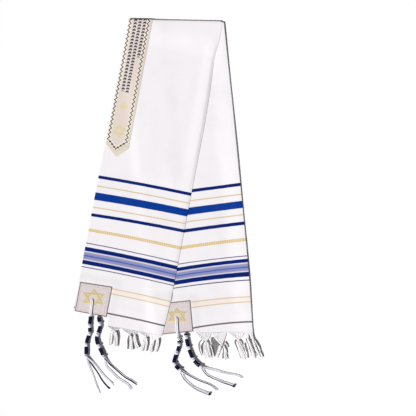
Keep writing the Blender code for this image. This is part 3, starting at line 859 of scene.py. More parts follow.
def make_cloth(look):
    """The folded cloth: upper layer, lengthwise fold and lower layer, with a header at each end."""
    spacing = 0.008
    path, turned, first = side_fold_path(spacing)
    headers = {side: [(side, HEADER_END[side] - 1.0 * MM, HEADER_SLOPE[side])] for side in SIDES}
    halfway = (HEADER_END["front"] + PATCH_BOTTOM["front"]) / 2
    headers["front"].append(("front", halfway, HEADER_SLOPE["front"] / 2))
    hems = {"front": PATCH_BOTTOM["front"], "back": PATCH_BOTTOM["back"] - 3.0 * MM}
    rows = headers["front"] + folded_rows(hems, spacing) + headers["back"]
    middle_of_fold = turned + SIDE_FOLD_STEPS // 2
    grid = []
    for row in rows:
        line = []
        for k, (across, offset, inner_across, inner_offset) in enumerate(path):
            material_across = across if k < middle_of_fold else 2 * STRIP_WIDTH - across
            line.append((place(row, across, offset), place(row, inner_across, inner_offset),
                         (material_across, row_pattern(row, across))))
        grid.append(line)
    last_row, last_column = len(rows) - 1, len(path) - 1
    cells = set()
    for i in range(last_row):
        in_header = i < len(headers["front"]) or i >= last_row - len(headers["back"])
        span = range(first, last_column - first) if in_header else range(last_column)
        cells |= {(i, j) for j in span}
    cloth = closed_wall("cloth", grid, look, cells)
    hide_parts("shawl_cloth")
    return cloth


def edge_share(distance, radius):
    """Thickness of a turned edge: thin at the rim, full at the radius."""
    share = min(1.0, max(0.0, distance / radius))
    return 0.25 + 0.75 * math.sqrt(max(0.0, 1 - (1 - share) ** 2))


# Places across the neckband, as shares of its half width, closer near its edges
BAND_SHARES = (-1.0, -0.96, -0.90, -0.75, -0.5, -0.25, 0.0, 0.25, 0.5, 0.75, 0.90, 0.96, 1.0)
BAND_TIP = 0.6 * MM             # half width at the very points


def make_band(look):
    """The neckband: a strip with pointed ends that lies on the cloth and goes over its fold."""
    spacing = 0.004
    low = (PITCH + WALL) / 2 + SEAM
    grid = []
    for row in folded_rows(BAND_POINT, spacing):
        kind, along, _ = row
        if kind == "fold":
            length, from_point = BAND_POINT["front"], 1.0
        else:
            from_point = BAND_POINT[kind] - along
            length = from_point if kind == "front" else BAND_LENGTH - from_point
        half = BAND_HALF * min(1.0, (from_point + BAND_TIP) / (POINT_LENGTH + BAND_TIP))
        line = []
        for share in BAND_SHARES:
            rim = min((1 - abs(share)) * half, from_point * 0.7)
            across = BAND_MIDDLE + share * half + POINT_SHIFT * (1 - half / BAND_HALF)
            line.append((place(row, across, low + BAND_WALL * edge_share(rim, 2.5 * MM)),
                         place(row, across, low), (across - BAND_MIDDLE, length)))
        grid.append(line)
    band = closed_wall("band", grid, look)
    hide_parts("neckband")
    return band


# Patches

def patch_point(side, layer, along, across, height):
    """A point over a corner patch's cloth, out from the outside of the strip's upper or lower layer."""
    top, bottom = PATCH_TOP[side], PATCH_BOTTOM[side]
    along += PATCH_TURN[side] * (across - PATCH_LEFT) * (bottom - along) / (bottom - top)
    faces_out = 1 if (side == "front") == (layer == "upper") else -1
    base = (PITCH + WALL) / 2 + SEAM + height
    return place((side, along, 0.0), across, faces_out * base)


PATCH_CELLS = 28                # each way, closer near the patch's edges


def make_patch(side, layer, look):
    """A patch's plain square, with thin turned edges."""
    top, bottom = PATCH_TOP[side], PATCH_BOTTOM[side] - 0.4 * MM
    shares = [0.5 - 0.5 * math.cos(math.pi * k / PATCH_CELLS) for k in range(PATCH_CELLS + 1)]
    grid = []
    for down in shares:
        along = top + (bottom - top) * down
        line = []
        for right in shares:
            across = PATCH_LEFT + (PATCH_RIGHT - PATCH_LEFT) * right
            rim = min(along - top, bottom - along, across - PATCH_LEFT, PATCH_RIGHT - across)
            line.append((patch_point(side, layer, along, across, PATCH_WALL * edge_share(rim, 2.0 * MM)),
                         patch_point(side, layer, along, across, 0.0), (across, along)))
        grid.append(line)
    return closed_wall(f"patch_{side}_{layer}_cloth", grid, look)


def pierce(item, side):
    """Cut the eyelet straight down through a piece."""
    spot = plan(side, EYELET_ALONG[side], EYELET_ACROSS[side])
    bpy.ops.mesh.primitive_cylinder_add(vertices=24, radius=EYELET_RADIUS, depth=0.06)
    cutter = bpy.context.object
    cutter.location = Vector((spot[0], spot[1], 0.0)) + SHIFT
    step = item.modifiers.new("eyelet", "BOOLEAN")
    step.operation = "DIFFERENCE"
    step.solver = "EXACT"
    step.object = cutter
    apply_modifiers(item)
    bpy.data.objects.remove(cutter, do_unlink=True)


# Across a raised bar: shares of its half width and of its height
RIDGE_PROFILE = ((-1.0, 0.0), (-0.8, 0.62), (-0.35, 0.95), (0.35, 0.95), (0.8, 0.62), (1.0, 0.0))


def ridge_ring(name, centres, width, height, point, look):
    """A rounded raised bar round a closed outline of (along, across) corners, mitred at each."""
    count, size = len(centres), len(RIDGE_PROFILE)
    flats = [np.array(corner) for corner in centres]
    points, uvs_at, travelled = [], [], 0.0
    for k in range(count):
        before, here, after = flats[k - 1], flats[k], flats[(k + 1) % count]
        into = (here - before) / np.linalg.norm(here - before)
        out = (after - here) / np.linalg.norm(after - here)
        normal_in = np.array((-into[1], into[0]))
        normal_out = np.array((-out[1], out[0]))
        mitre = normal_in + normal_out
        mitre /= max(0.35, float(mitre @ normal_in))
        if k:
            travelled += float(np.linalg.norm(here - before))
        for share, rise in RIDGE_PROFILE:
            spot = here + mitre * share * width / 2
            points.append(point(spot[0], spot[1], rise * height))
            uvs_at.append((share * width / 2, travelled))
    total = travelled + float(np.linalg.norm(flats[0] - flats[-1]))
    faces, uvs = [], []
    for k in range(count):
        after = (k + 1) % count
        for j in range(size):
            beside = (j + 1) % size
            faces.append((k * size + j, k * size + beside, after * size + beside, after * size + j))
            far = total if after == 0 else uvs_at[after * size][1]
            for spot, far_end in ((j, False), (beside, False), (beside, True), (j, True)):
                uvs.append((uvs_at[spot][0], far if far_end else uvs_at[k * size][1]))
    return make_object(name, points, faces, look, uvs, smooth=60)


def along_edges(corners, spacing):
    """Points every spacing or so along a closed outline's straight sides."""
    route = []
    for start, end in zip(corners, corners[1:] + corners[:1]):
        start, end = np.array(start), np.array(end)
        steps = max(1, round(float(np.linalg.norm(end - start)) / spacing))
        route += [tuple(start + (end - start) * step / steps) for step in range(steps)]
    return route


STAR_RADIUS = {"front": 0.0248, "back": 0.0222}
STAR_STRETCH = {"front": 1.26, "back": 1.22}    # the star's width against its height
STAR_TURN = {"front": math.radians(5.0), "back": math.radians(-5.0)}
STAR_BAR = 6.2 * MM
STAR_RISE = 0.5 * MM
STAR_LIFT = 0.12 * MM           # of the upper triangle over the lower one
STAR_OFFSET = {"front": 1.6 * MM, "back": 1.2 * MM}     # from the eyelet across to its middle
STAR_UP = {"front": 3.6 * MM, "back": 3.8 * MM}         # and up
EDGING_WIDTH = 2.6 * MM
EDGING_RISE = 0.45 * MM
# How far in from a patch's top, bottom, left and right edge
EDGING_INSETS = (1.6 * MM, 3.6 * MM, 3.6 * MM, 1.8 * MM)
STITCH_INSETS = (8.5 * MM,) * 4


def inside_patch(side, insets, spacing):
    """Points round a patch, inset from each of its edges."""
    top, bottom = PATCH_TOP[side] + insets[0], PATCH_BOTTOM[side] - insets[1]
    left, right = PATCH_LEFT + insets[2], PATCH_RIGHT - insets[3]
    return along_edges([(top, left), (top, right), (bottom, right), (bottom, left)], spacing)


def make_patch_trim(side, layer, looks):
    """Edging cord round the patch and the star of two crossed triangles."""
    def point(along, across, height):
        return patch_point(side, layer, along, across, PATCH_WALL + 0.02 * MM + height)

    trims = [ridge_ring(f"edging_{side}_{layer}", inside_patch(side, EDGING_INSETS, 8 * MM),
                        EDGING_WIDTH, EDGING_RISE, point, looks["edging"])]
    middle = (EYELET_ALONG[side] - STAR_UP[side], EYELET_ACROSS[side] + STAR_OFFSET[side])
    radius, tilt = STAR_RADIUS[side], STAR_TURN[side]
    for number, turn in enumerate((0.0, math.pi)):
        corners = []
        for k in range(3):
            angle = turn + math.tau * k / 3
            up, right = math.cos(angle) * radius, math.sin(angle) * radius * STAR_STRETCH[side]
            up, right = (up * math.cos(tilt) + right * math.sin(tilt),
                         right * math.cos(tilt) - up * math.sin(tilt))
            corners.append((middle[0] - up, middle[1] + right))
        trims.append(ridge_ring(f"star_{number}_{side}_{layer}", along_edges(corners, 9 * MM), STAR_BAR,
                                STAR_RISE, lambda a, c, h, up=STAR_LIFT * number: point(a, c, h + up),
                                looks["star"]))
    return trims


# Stitches laid along lines by Geometry Nodes

def stitch_tree():
    """Stitches at an even spacing along the input's edges: small tubes that follow the line."""
    tree = bpy.data.node_groups.new("stitch_rows", "GeometryNodeTree")
    for label, kind, way in (("Geometry", "Geometry", "INPUT"), ("Spacing", "Float", "INPUT"),
                             ("Length", "Float", "INPUT"), ("Thickness", "Float", "INPUT"),
                             ("Turn", "Float", "INPUT"), ("Thread", "Material", "INPUT"),
                             ("Geometry", "Geometry", "OUTPUT")):
        tree.interface.new_socket(name=label, in_out=way, socket_type=f"NodeSocket{kind}")
    nodes, link = tree.nodes, tree.links.new
    given = nodes.new("NodeGroupInput").outputs
    out = nodes.new("NodeGroupOutput")
    curve = nodes.new("GeometryNodeMeshToCurve")
    spread = nodes.new("GeometryNodeCurveToPoints")
    spread.mode = "LENGTH"
    capsule = nodes.new("GeometryNodeMeshUVSphere")
    capsule.inputs["Segments"].default_value = 8
    capsule.inputs["Rings"].default_value = 6
    capsule.inputs["Radius"].default_value = 0.5
    place_on = nodes.new("GeometryNodeInstanceOnPoints")
    size = nodes.new("ShaderNodeCombineXYZ")
    align = nodes.new("FunctionNodeAlignRotationToVector")
    align.axis = "X"
    turn = nodes.new("FunctionNodeRotateRotation")
    turn.rotation_space = "LOCAL"
    spin = nodes.new("FunctionNodeAxisAngleToRotation")
    spin.inputs["Axis"].default_value = (0.0, 0.0, 1.0)
    solid = nodes.new("GeometryNodeRealizeInstances")
    paint = nodes.new("GeometryNodeSetMaterial")
    link(given["Geometry"], curve.inputs["Mesh"])
    link(curve.outputs["Curve"], spread.inputs["Curve"])
    link(given["Spacing"], spread.inputs["Length"])
    link(spread.outputs["Points"], place_on.inputs["Points"])
    link(spread.outputs["Tangent"], align.inputs["Vector"])
    link(given["Turn"], spin.inputs["Angle"])
    link(align.outputs["Rotation"], turn.inputs["Rotation"])
    link(spin.outputs["Rotation"], turn.inputs["Rotate By"])
    link(turn.outputs["Rotation"], place_on.inputs["Rotation"])
    link(capsule.outputs["Mesh"], place_on.inputs["Instance"])
    for axis, label in enumerate(("Length", "Thickness", "Thickness")):
        link(given[label], size.inputs[axis])
    link(size.outputs[0], place_on.inputs["Scale"])
    link(place_on.outputs["Instances"], solid.inputs["Geometry"])
    link(solid.outputs["Geometry"], paint.inputs["Geometry"])
    link(given["Thread"], paint.inputs["Material"])
    link(paint.outputs["Geometry"], out.inputs["Geometry"])
    return tree


def stitch_rows(name, tree, routes, spacing, length, thickness, look, turn=0.0):
    """Stitches along routes of points, as one plain mesh."""
    points, edges = [], []
    for route in routes:
        start = len(points)
        points += [tuple(Vector(point) + SHIFT) for point in route]
        edges += [(k, k + 1) for k in range(start, len(points) - 1)]
    mesh = bpy.data.meshes.new(name)
    mesh.from_pydata(points, edges, [])
    item = bpy.data.objects.new(name, mesh)
    bpy.context.scene.collection.objects.link(item)
    step = item.modifiers.new("stitches", "NODES")
    step.node_group = tree
    values = {"Spacing": spacing, "Length": length, "Thickness": thickness, "Turn": turn,
              "Thread": look}
    for socket in tree.interface.items_tree:
        if socket.in_out == "INPUT" and socket.name in values:
            step[socket.identifier] = values[socket.name]
    apply_modifiers(item)
    item.data.shade_smooth()
    return item


def make_patch_stitches(side, layer, tree, looks):
    """The dashed row just inside the edging, and the buttonhole stitches round the eyelet."""
    def point(along, across):
        return patch_point(side, layer, along, across, PATCH_WALL + 0.1 * MM)

    square = [point(*spot) for spot in inside_patch(side, STITCH_INSETS, 6 * MM)]
    rows = stitch_rows(f"patch_stitches_{side}_{layer}", tree, [square + square[:1]], 4.6 * MM,
                       2.8 * MM, 0.8 * MM, looks["stitch"])
    radius = EYELET_RADIUS + 1.1 * MM
    ring = [point(EYELET_ALONG[side] + radius * math.cos(math.tau * k / 40),
                  EYELET_ACROSS[side] + radius * math.sin(math.tau * k / 40)) for k in range(41)]
    eyelet = stitch_rows(f"eyelet_stitches_{side}_{layer}", tree, [ring], 0.85 * MM, 2.6 * MM,
                         0.9 * MM, looks["white_thread"], turn=math.pi / 2)
    return [rows, eyelet]


def make_band_stitches(tree, look):
    """A row of stitches along each long edge of the neckband."""
    height = (PITCH + WALL) / 2 + SEAM + BAND_WALL + 0.05 * MM
    rows = folded_rows(BAND_SHOULDER, 0.01, steps=7)
    routes = [[place(row, BAND_MIDDLE + hand * (BAND_HALF - 1.8 * MM), height) for row in rows]
              for hand in (-1, 1)]
    return stitch_rows("band_stitches", tree, routes, 3.2 * MM, 2.2 * MM, 0.6 * MM, look)


# Fringe

# A gather: the shares of the header where its threads start and end, and the knot that they run to.
# Places are in millimetres, right and up from the left end of the crosswise fold.
GATHERS = {
    "front": (
        (0.0, 0.26, (-43, -934)), (0.26, 0.47, (5, -946)), (0.45, 0.57, (20, -947)),
        (0.56, 0.8, (53, -953)), (0.78, 0.94, (76, -966)), (0.9, 1.0, (90, -958)),
    ),
    "back": (
        (0.0, 0.28, (234, -966)), (0.28, 0.55, (280, -976)), (0.57, 0.86, (330, -962)),
        (0.86, 0.93, (359, -959)), (0.93, 1.0, (375, -961)),
    ),
}
# A tail: its width at the knot and at the tip, and the places it passes, all in millimetres
TAILS = {
    "front": (
        (7.8, 7.2, ((-49, -934), (-55, -954), (-59, -980))),
        (4.5, 3.6, ((-46, -936), (-49, -957), (-52, -977))),
        (9.6, 12.6, ((-39, -937), (-37, -957), (-40, -982))),
        (4.8, 4.2, ((0, -949), (-4, -966), (-3, -992))),
        (7.8, 10.2, ((8, -950), (9, -969), (9, -993))),
        (9.0, 10.2, ((20, -950), (22, -966), (29, -987))),
        (9.0, 7.2, ((50, -956), (46, -972), (40, -997))),
        (6.0, 6.0, ((56, -957), (55, -978), (50, -997))),
        (6.0, 10.8, ((75, -968), (71, -980), (66, -1000))),
        (7.2, 6.0, ((90, -962), (87, -981), (81, -1000))),
    ),
    "back": (
        (3.6, 3.0, ((226, -964), (217, -978), (218, -993), (225, -1012))),
        (13.5, 21.0, ((234, -969), (235, -993), (238, -1018))),
        (3.0, 3.0, ((247, -978), (254, -999), (255, -1014))),
        (7.8, 6.6, ((276, -979), (272, -994), (264, -1016))),
        (4.8, 10.8, ((286, -979), (291, -993), (292, -1022))),
        (3.0, 3.0, ((290, -969), (296, -978), (300, -988))),
        (15.0, 13.8, ((330, -965), (340, -993), (350, -1020))),
        (3.6, 3.6, ((346, -974), (354, -999), (358, -1018))),
        (6.0, 7.8, ((359, -962), (368, -982), (379, -1017))),
        (5.7, 6.0, ((374, -963), (384, -990), (396, -1014))),
        (3.9, 3.9, ((379, -964), (390, -982), (403, -1016))),
    ),
}
# This tail takes the lower layers' yarn, painted grey as shade.
UNDER_TAIL = (19.0, 14.0, ((257, -954), (260, -978), (260, -1011)))  # seen only between two tails
GATHER_THREADS_A_METRE = 1300
YARN_RADIUS = 1.0 * MM
YARN_FLOOR = YARN_RADIUS + 0.05 * MM    # lowest that the middle of a yarn lies
TAIL_YARN_AREA = 3.0 * MM * MM          # a tail has one yarn for so much of its section
TAIL_TURNS = 0.9                # twist of a tail from its knot to its tip, in radians a centimetre
WIDE_TAIL, WIDE_TAIL_CALM = 7, 0.25     # from this width in mm on, a tail turns so much less
TAIL_HALF = (0.48, 0.66)        # half width of its yarns, as shares of its width: at the knot, beyond
GOLDEN_ANGLE = 2.399            # from yarn to yarn, which fills an oval evenly
# Middle height and half height of a tail at its knot and at its tip
TAIL_HEIGHT = {"upper": ((4.4 * MM, 2.6 * MM), (3.4 * MM, 2.3 * MM)),
               "lower": ((1.2 * MM, 0.5 * MM), (1.0 * MM, 0.3 * MM))}
KNOT_RADIUS = 2.6 * MM
LOWER_TAILS_BESIDE = {"front": (5.5, 3.0), "back": (-5.0, 4.0)}     # mm right and up of the upper's


def fringe_tail(store, dice, first, last, flat, heights):
    """One tail: strands that fill an oval and turn round each other, cut at uneven lengths."""
    route = smooth_route([(x * MM, y * MM, 0.0) for x, y in flat], 3.5 * MM)
    run = np.linspace(0.0, 1.0, len(route))
    halves = (TAIL_HALF[0] * first, TAIL_HALF[1] * first, TAIL_HALF[1] * last)
    half = np.maximum(np.interp(run, (0.0, 0.12, 1.0), halves) * MM - YARN_RADIUS, 0.3 * MM)
    middle = np.interp(run, (0.0, 1.0), (heights[0][0], heights[1][0]))
    rise = np.minimum(np.interp(run, (0.0, 1.0), (heights[0][1], heights[1][1])), half + 1.2 * MM)
    _, right, _ = route_frame(route)
    travelled = np.linalg.norm(route[-1] - route[0]) * run
    area = math.pi * float(np.mean(half + YARN_RADIUS)) * float(np.mean(rise + YARN_RADIUS))
    strands = max(5, round(area / TAIL_YARN_AREA))
    turning = 100 * TAIL_TURNS * (1 if first < WIDE_TAIL else WIDE_TAIL_CALM)
    for strand in range(strands):
        out = math.sqrt((strand + 0.5) / strands)
        turn = strand * GOLDEN_ANGLE + travelled * turning + dice.uniform(-0.3, 0.3)
        path = route + right * (out * np.cos(turn) * half)[:, None]
        path[:, 2] = np.maximum(middle + out * np.sin(turn) * rise, YARN_FLOOR)
        path = path[:max(3, len(path) - dice.choice((0, 0, 0, 1)))]
        path[-1, :2] += (path[-1, :2] - path[-2, :2]) * dice.uniform(-0.4, 0.5)
        radii = np.full(len(path), YARN_RADIUS)
        radii[-1] *= 0.5
        tube(store, path, radii, 5)


def make_fringe(side, layer, look):
    """Warp ends that gather into knots below the header and hang on as twisted tails."""
    dice = random.Random(f"{side} {layer}")
    upper = layer == "upper"
    offset = PITCH / 2 if (side == "front") == upper else -PITCH / 2
    reach = STRIP_WIDTH - SIDE_FOLD - HEADER_LEFT
    row = (side, HEADER_END[side] - 2.5 * MM, HEADER_SLOPE[side])
    heights = TAIL_HEIGHT[layer]
    store = new_store()
    for start, end, (knot_x, knot_y) in GATHERS[side]:
        count = max(6, round((end - start) * reach * GATHER_THREADS_A_METRE))
        for thread in range(count):
            even = (thread + dice.uniform(0.1, 0.9)) / count
            parted = 0.5 - 0.5 * math.cos(math.pi * even)
            share = start + (end - start) * (0.35 * even + 0.65 * parted)
            root = np.array(place(row, HEADER_LEFT + reach * share, offset))
            swirl = dice.uniform(0, math.tau)
            ring = KNOT_RADIUS * math.sqrt(dice.uniform(0.05, 0.8))
            knot = np.array((knot_x * MM + math.cos(swirl) * ring, knot_y * MM,
                             heights[0][0] + math.sin(swirl) * ring * (0.8 if upper else 0.15)))
            between = root * 0.5 + knot * 0.5 + np.array(((root[0] - knot[0]) * 0.12, 0, 0.4 * MM))
            path = smooth_route([root, between, knot, knot - (0, 3.0 * MM, 0)], 4.0 * MM)
            path[:, 2] = np.maximum(path[:, 2], YARN_FLOOR)
            tube(store, path, YARN_RADIUS, 5)
        if upper:
            turns = [math.tau * k / 14 for k in range(14)]
            for tilt in (-0.5, 0.5):
                ring = [((knot_x + math.cos(turn) * 3.2) * MM,
                         (knot_y + tilt * (1 + math.cos(turn)) * 2.0) * MM,
                         heights[0][0] + math.sin(turn) * 2.5 * MM) for turn in turns]
                tube(store, ring, 0.95 * MM, 6, closed=True)
    beside = (0.0, 0.0) if upper else LOWER_TAILS_BESIDE[side]
    for first, last, flat in TAILS[side]:
        flat = [(x + beside[0], y + beside[1]) for x, y in flat]
        fringe_tail(store, dice, first, last, flat, heights)
    if not upper and side == "back":
        fringe_tail(store, dice, *UNDER_TAIL, heights)
    fringe = tube_object(f"{side}_{layer}_fringe_yarn", store, look)
    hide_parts(f"fringe_{side}_{layer}")
    return fringe


# Tassels

HEAD_RADIUS = 4.2 * MM
WINDING_RADIUS = 0.95 * MM
HEAD_HEIGHT = 6.2 * MM
LOOP_KNOT_RADIUS = 4.8 * MM
KNOT_CORD = 1.4 * MM
KNOT_REACH = 0.047              # share of the head's length that stays white to each side of a knot
# Loops of a knot: place along the head in millimetres and tilt, and the hitch on top of them in
# millimetres ahead, right and up
KNOT_TURNS = ((-2.4, 0.30), (0.0, -0.30), (2.4, 0.30))
HITCH = ((-4.0, 2.0, -0.6), (-1.6, 2.8, 0.6), (1.0, 0.6, 1.2), (2.0, -2.2, 0.7),
         (-0.6, -3.0, 0.4), (-1.4, 0.0, 1.3), (1.2, 2.6, 0.8), (4.0, 1.6, -0.6))
LOOP_CORD = 2.0 * MM
LOOP_APART = 1.9 * MM           # of each half of the loop from its middle
LOCK_FLOOR = 1.25 * MM
LOCK_RADIUS = 0.95 * MM
LOCK_PITCH = 1.9 * MM           # from strand to strand in a lock
BINDING_RADIUS = 3.2 * MM       # of the navy whipping near the ends of two locks
BINDING = (0.90, 0.96)          # and where along the lock it sits

# Routes in millimetres, right and up from the left end of the crosswise fold
HEAD_ROUTES = {
    "front_upper": ((-113, -892), (-114, -904), (-116, -916), (-115, -930), (-116, -944), (-122, -959),
                    (-126, -978), (-126, -999), (-128, -1014)),
    "front_lower": ((-89, -901), (-84, -920), (-89, -937), (-94, -952), (-94, -966),
                    (-87, -983), (-79, -1000), (-72, -1017)),
    "back_upper": ((148, -954), (152, -963), (152, -975), (151, -986), (145, -1001),
                   (140, -1016), (137, -1030), (144, -1042), (158, -1056)),
    "back_lower": ((173, -950), (175, -962), (178, -975), (182, -990), (188, -1006),
                   (196, -1022), (206, -1034), (221, -1046)),
}
KNOTS = {                   # shares of the head's length at which its knots sit
    "front_upper": (0.23, 0.42, 0.70, 0.97),
    "front_lower": (0.17, 0.42, 0.70, 0.97),
    "back_upper": (0.05, 0.20, 0.43, 0.75, 0.97),
    "back_lower": (0.10, 0.38, 0.69, 0.97),
}
LOCK_ROUTES = {             # colour of each strand in the lock, then its points beyond the last knot
    "front_upper": (
        ("www", ((-118, -1038), (-106, -1068), (-98, -1092), (-84, -1126))),
        ("nn", ((-108, -1038), (-93, -1060), (-79, -1084), (-65, -1101), (-53, -1112))),
        ("www", ((-99, -1037), (-84, -1056), (-67, -1075), (-53, -1088), (-42, -1100))),
    ),
    "front_lower": (
        ("wwww", ((-66, -1040), (-51, -1058), (-33, -1075), (-17, -1086), (-3, -1096), (11, -1114))),
        ("wnnw", ((-55, -1034), (-39, -1049), (-23, -1064), (-8, -1076), (9, -1085), (26, -1098))),
    ),
    "back_upper": (
        ("nwww", ((169, -1078), (188, -1097), (208, -1110), (227, -1118), (250, -1127))),
        ("wwnw", ((179, -1067), (195, -1077), (214, -1086), (237, -1094), (253, -1102), (269, -1114))),
    ),
    "back_lower": (
        ("wnww", ((233, -1064), (246, -1073), (265, -1082), (289, -1091), (323, -1103))),
        ("wwww", ((243, -1049), (266, -1055), (289, -1062), (322, -1068), (346, -1075))),
    ),
}


def wound_stretch(store, route, start, end, radius, cord):
    """A cord wound round a route between two shares of its length."""
    travelled = distances(route)
    total = travelled[-1]
    _, right, up = route_frame(route)
    count = 10 * max(1, round((end - start) * total / (cord * 1.95)))
    steps = np.arange(count + 1)
    wanted = (start + (end - start) * steps / count) * total
    centre, beside, top = (sample(values, travelled, wanted) for values in (route, right, up))
    angles = (math.tau * steps / 10)[:, None]
    tube(store, centre + (beside * np.cos(angles) + top * np.sin(angles)) * radius, cord, 5)


def knot_loops(store, route, share):
    """A double knot: loops of cord round the head, and a hitch that stands out on top of it."""
    travelled = distances(route)
    index = int(np.argmin(abs(travelled - share * travelled[-1])))
    middle = route[index]
    ahead, right, up = (directions[index] for directions in route_frame(route))
    for shift, tilt in KNOT_TURNS:
        ring = []
        for k in range(16):
            angle = math.tau * k / 16
            spot = middle + ahead * (shift * MM + tilt * LOOP_KNOT_RADIUS * math.cos(angle))
            ring.append(spot + (right * math.cos(angle) + up * math.sin(angle)) * LOOP_KNOT_RADIUS)
        tube(store, ring, KNOT_CORD, 6, closed=True)
    top = middle + up * LOOP_KNOT_RADIUS
    hitch = [top + ahead * a * MM + right * b * MM + up * c * MM for a, b, c in HITCH]
    tube(store, smooth_route(hitch, 1.2 * MM), KNOT_CORD * 0.95, 6)


def tassel_loop(store, side, start):
    """The doubled cord from a head's start up over the patch and down into its eyelet."""
    hole = plan(side, EYELET_ALONG[side], EYELET_ACROSS[side])
    toward = start - hole
    span = float(np.linalg.norm(toward))
    toward /= span
    hem = (PATCH_BOTTOM[side] - EYELET_ALONG[side]) + 2.0 * MM
    over = level(side, PATCH_BOTTOM[side], PATCH_LEFT) + (PITCH + WALL) / 2
    over += 2 * SEAM + PATCH_WALL + EDGING_RISE + LOOP_CORD
    beside = np.array((-toward[1], toward[0]))
    profile = ((-1.5 * MM, over - 2.6 * MM), (0.6 * MM, over - 0.8 * MM), (4.5 * MM, over),
               (span * 0.5, over), (hem, over + 0.3 * MM), (span + 2 * MM, HEAD_HEIGHT),
               (span + 8 * MM, HEAD_HEIGHT))
    for hand in (-LOOP_APART, LOOP_APART):
        cord = []
        for run, z in profile:
            pinch = 1.0 if run > 4 * MM else 0.7
            cord.append((*(hole + toward * run + beside * hand * pinch), z))
        tube(store, smooth_route(cord, 2.0 * MM), LOOP_CORD, 8)


def tassel_locks(stores, name, route):
    """Locks of strands beyond the last knot, which wander and end unevenly."""
    dice = random.Random(name)
    last = route[-1] - route[-2]
    last /= np.linalg.norm(last)
    across_knot = np.array((-last[1], last[0], 0.0))
    for lock, (colours, points) in enumerate(LOCK_ROUTES[name]):
        tier = (lock - (len(LOCK_ROUTES[name]) - 1) / 2) * 2.2 * MM
        flats = [np.array((x * MM, y * MM, LOCK_FLOOR)) for x, y in points]
        if name.startswith("back") and lock == 0:
            bound = smooth_route([point + (0, 0, BINDING_RADIUS) for point in flats], 2.0 * MM)
            wound_stretch(stores["n"], bound, *BINDING, BINDING_RADIUS, WINDING_RADIUS)
        for strand, colour in enumerate(colours):
            hand = strand - (len(colours) - 1) / 2
            root = route[-1] - last * 3 * MM + across_knot * hand * 1.6 * MM
            path = [root + np.array((0, 0, tier))]
            for index, point in enumerate(flats):
                ahead = flats[min(index + 1, len(flats) - 1)] - flats[max(index - 1, 0)]
                ahead /= np.linalg.norm(ahead)
                right = np.array((-ahead[1], ahead[0], 0.0))
                end = index == len(flats) - 1
                wander = dice.uniform(-0.7, 0.7) * (2.0 if end else 1.0) * MM
                shorten = ahead * dice.uniform(-7, 0) * MM if end else 0.0
                path.append(point + right * (hand * LOCK_PITCH + wander) + shorten)
            strand_route = smooth_route(path, 3.5 * MM)
            strand_route[:, 2] = np.maximum(strand_route[:, 2], LOCK_RADIUS + 0.1 * MM)
            tube(stores[colour], strand_route, LOCK_RADIUS, 6)


def make_tassel(name, looks):
    """A corner tassel: its wound and knotted head, its loop through the eyelet and its locks."""
    side, layer = name.split("_")
    flat = [np.array((x * MM, y * MM)) for x, y in HEAD_ROUTES[name]]
    if layer == "lower":
        hem = plan(side, PATCH_BOTTOM[side] + 1.2 * MM, 0.0)
        first = flat[0] - DOWN[side] * float((flat[0] - hem) @ DOWN[side])
        flat = [first, first + DOWN[side] * 5 * MM] + flat[1:]
    route = smooth_route([(x, y, HEAD_HEIGHT) for x, y in flat], 2.0 * MM)
    stores = {"w": new_store(), "n": new_store()}
    tube(stores["w"], route, HEAD_RADIUS, 8)
    edges = [0.0]
    for share in KNOTS[name]:
        edges += [share - KNOT_REACH, share + KNOT_REACH]
        knot_loops(stores["w"], route, share)
    for start, end in zip(edges[0::2], edges[1::2]):
        if end - start > 0.02:
            wound_stretch(stores["n"], route, max(start, 0.004), end, HEAD_RADIUS + 0.5 * MM,
                          WINDING_RADIUS)
    if layer == "upper":
        tassel_loop(stores["w"], side, flat[0])
    tassel_locks(stores, name, route)
    pieces = [tube_object(f"{name}_tassel_white", stores["w"], looks["white_cord"]),
              tube_object(f"{name}_tassel_navy", stores["n"], looks["navy_cord"])]
    tassel = join(pieces, f"{name}_tassel_cords")
    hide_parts(f"tassel_{name}")
    return tassel


# Setting

def make_floor(look):
    """The floor of the photograph's setting, just under the cloth."""
    bpy.ops.mesh.primitive_plane_add(size=8.0, location=(0, 0, 0))
    floor = bpy.context.object
    floor.name = "floor"
    for point in floor.data.vertices:
        point.co.z = -0.05 * MM
    floor.data.materials.append(look)


PHOTO_PIXEL = 0.003             # metres a pixel of the photograph
PHOTO_SIZE = 416
FOLD_CORNER = (128.3, 19.0)     # the left end of the crosswise fold in the photograph


def make_camera():
    """A long lens straight above the photograph's middle that sees as much as the photograph does."""
    middle = Vector(((PHOTO_SIZE / 2 - FOLD_CORNER[0]) * PHOTO_PIXEL,
                     (FOLD_CORNER[1] - PHOTO_SIZE / 2) * PHOTO_PIXEL, 0.0)) + SHIFT
    data = bpy.data.cameras.new("camera")
    data.lens = 100
    data.sensor_width = 36
    camera = bpy.data.objects.new("camera", data)
    camera.location = middle + Vector((0, 0, PHOTO_SIZE * PHOTO_PIXEL * data.lens / data.sensor_width))
    bpy.context.scene.collection.objects.link(camera)
    bpy.context.scene.camera = camera


WORLD_STRENGTH = 0.11
KEY_ENERGY = 3.98
KEY_DIRECTION = (0.60, 0.50, -0.78)


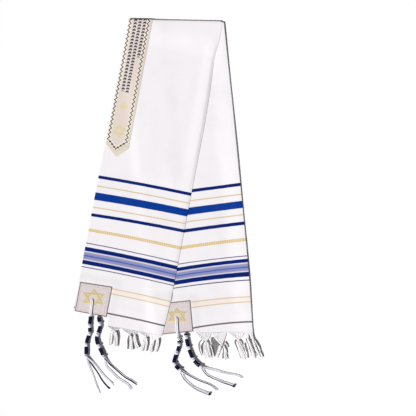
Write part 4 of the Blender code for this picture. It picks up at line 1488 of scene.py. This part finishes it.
def make_lights():
    """A low soft key from the lower left, which leaves thin shadows at the top and right edges."""
    world = bpy.data.worlds.new("studio")
    world.use_nodes = True
    background = world.node_tree.nodes["Background"].inputs
    background["Color"].default_value = (1.0, 1.0, 1.0, 1.0)
    background["Strength"].default_value = WORLD_STRENGTH
    bpy.context.scene.world = world
    data = bpy.data.lights.new("key", "SUN")
    data.energy = KEY_ENERGY
    data.angle = math.radians(5)
    key = bpy.data.objects.new("key", data)
    key.rotation_euler = Vector(KEY_DIRECTION).to_track_quat("-Z", "Y").to_euler()
    bpy.context.scene.collection.objects.link(key)
    bpy.context.scene.view_settings.view_transform = "Standard"
    bpy.context.scene.view_settings.look = "None"


def main():
    looks = {
        "cloth": cloth_look(), "band": band_look(), "patch": patch_look(), "star": star_look(),
        "edging": thread_look("edging_cord", "patch_edge", 2.2 * MM),
        "stitch": thread_look("grey_stitch", "thread", 1.0 * MM),
        "white_thread": thread_look("white_stitch", "cord_white", 1.0 * MM),
        "yarn": thread_look("fringe_yarn", "yarn", 2.4 * MM, depth=0.12),
        # White yarn painted grey: painted shade for the lower layers' fringe.
        "shade_painted_yarn": thread_look("under_fringe_yarn", "shade_painted_yarn", 2.4 * MM),
        "white_cord": thread_look("white_cord", "cord_white", 3.0 * MM, twist=2.0),
        "navy_cord": thread_look("navy_cord", "cord_navy", 3.0 * MM, twist=2.0, sheen=0.05),
    }
    tree = stitch_tree()
    cloth = make_cloth(looks["cloth"])
    band = make_band(looks["band"])
    band_stitches = make_band_stitches(tree, looks["white_thread"])
    sheets, extras = [band], [band_stitches]
    for side in SIDES:
        pierce(cloth, side)
        for layer in ("upper", "lower"):
            patch = make_patch(side, layer, looks["patch"])
            pierce(patch, side)
            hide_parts(f"patch_{side}_{layer}")
            trims = (make_patch_trim(side, layer, looks)
                     + make_patch_stitches(side, layer, tree, looks))
            trim = join(trims, f"patch_{side}_{layer}_trim")
            sheets.append(patch)
            extras.append(trim)
            # The lower layers get the grey yarn, painted shade for the shadow of the layers above.
            yarn = looks["yarn" if layer == "upper" else "shade_painted_yarn"]
            extras.append(make_fringe(side, layer, yarn))
            extras.append(make_tassel(f"{side}_{layer}", looks))
    for piece in [cloth] + sheets + extras:
        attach(piece, "root")
    make_floor(floor_look())
    make_camera()
    make_lights()
    for patch in sheets[1:]:
        side = patch.name.split("_")[1]


main()
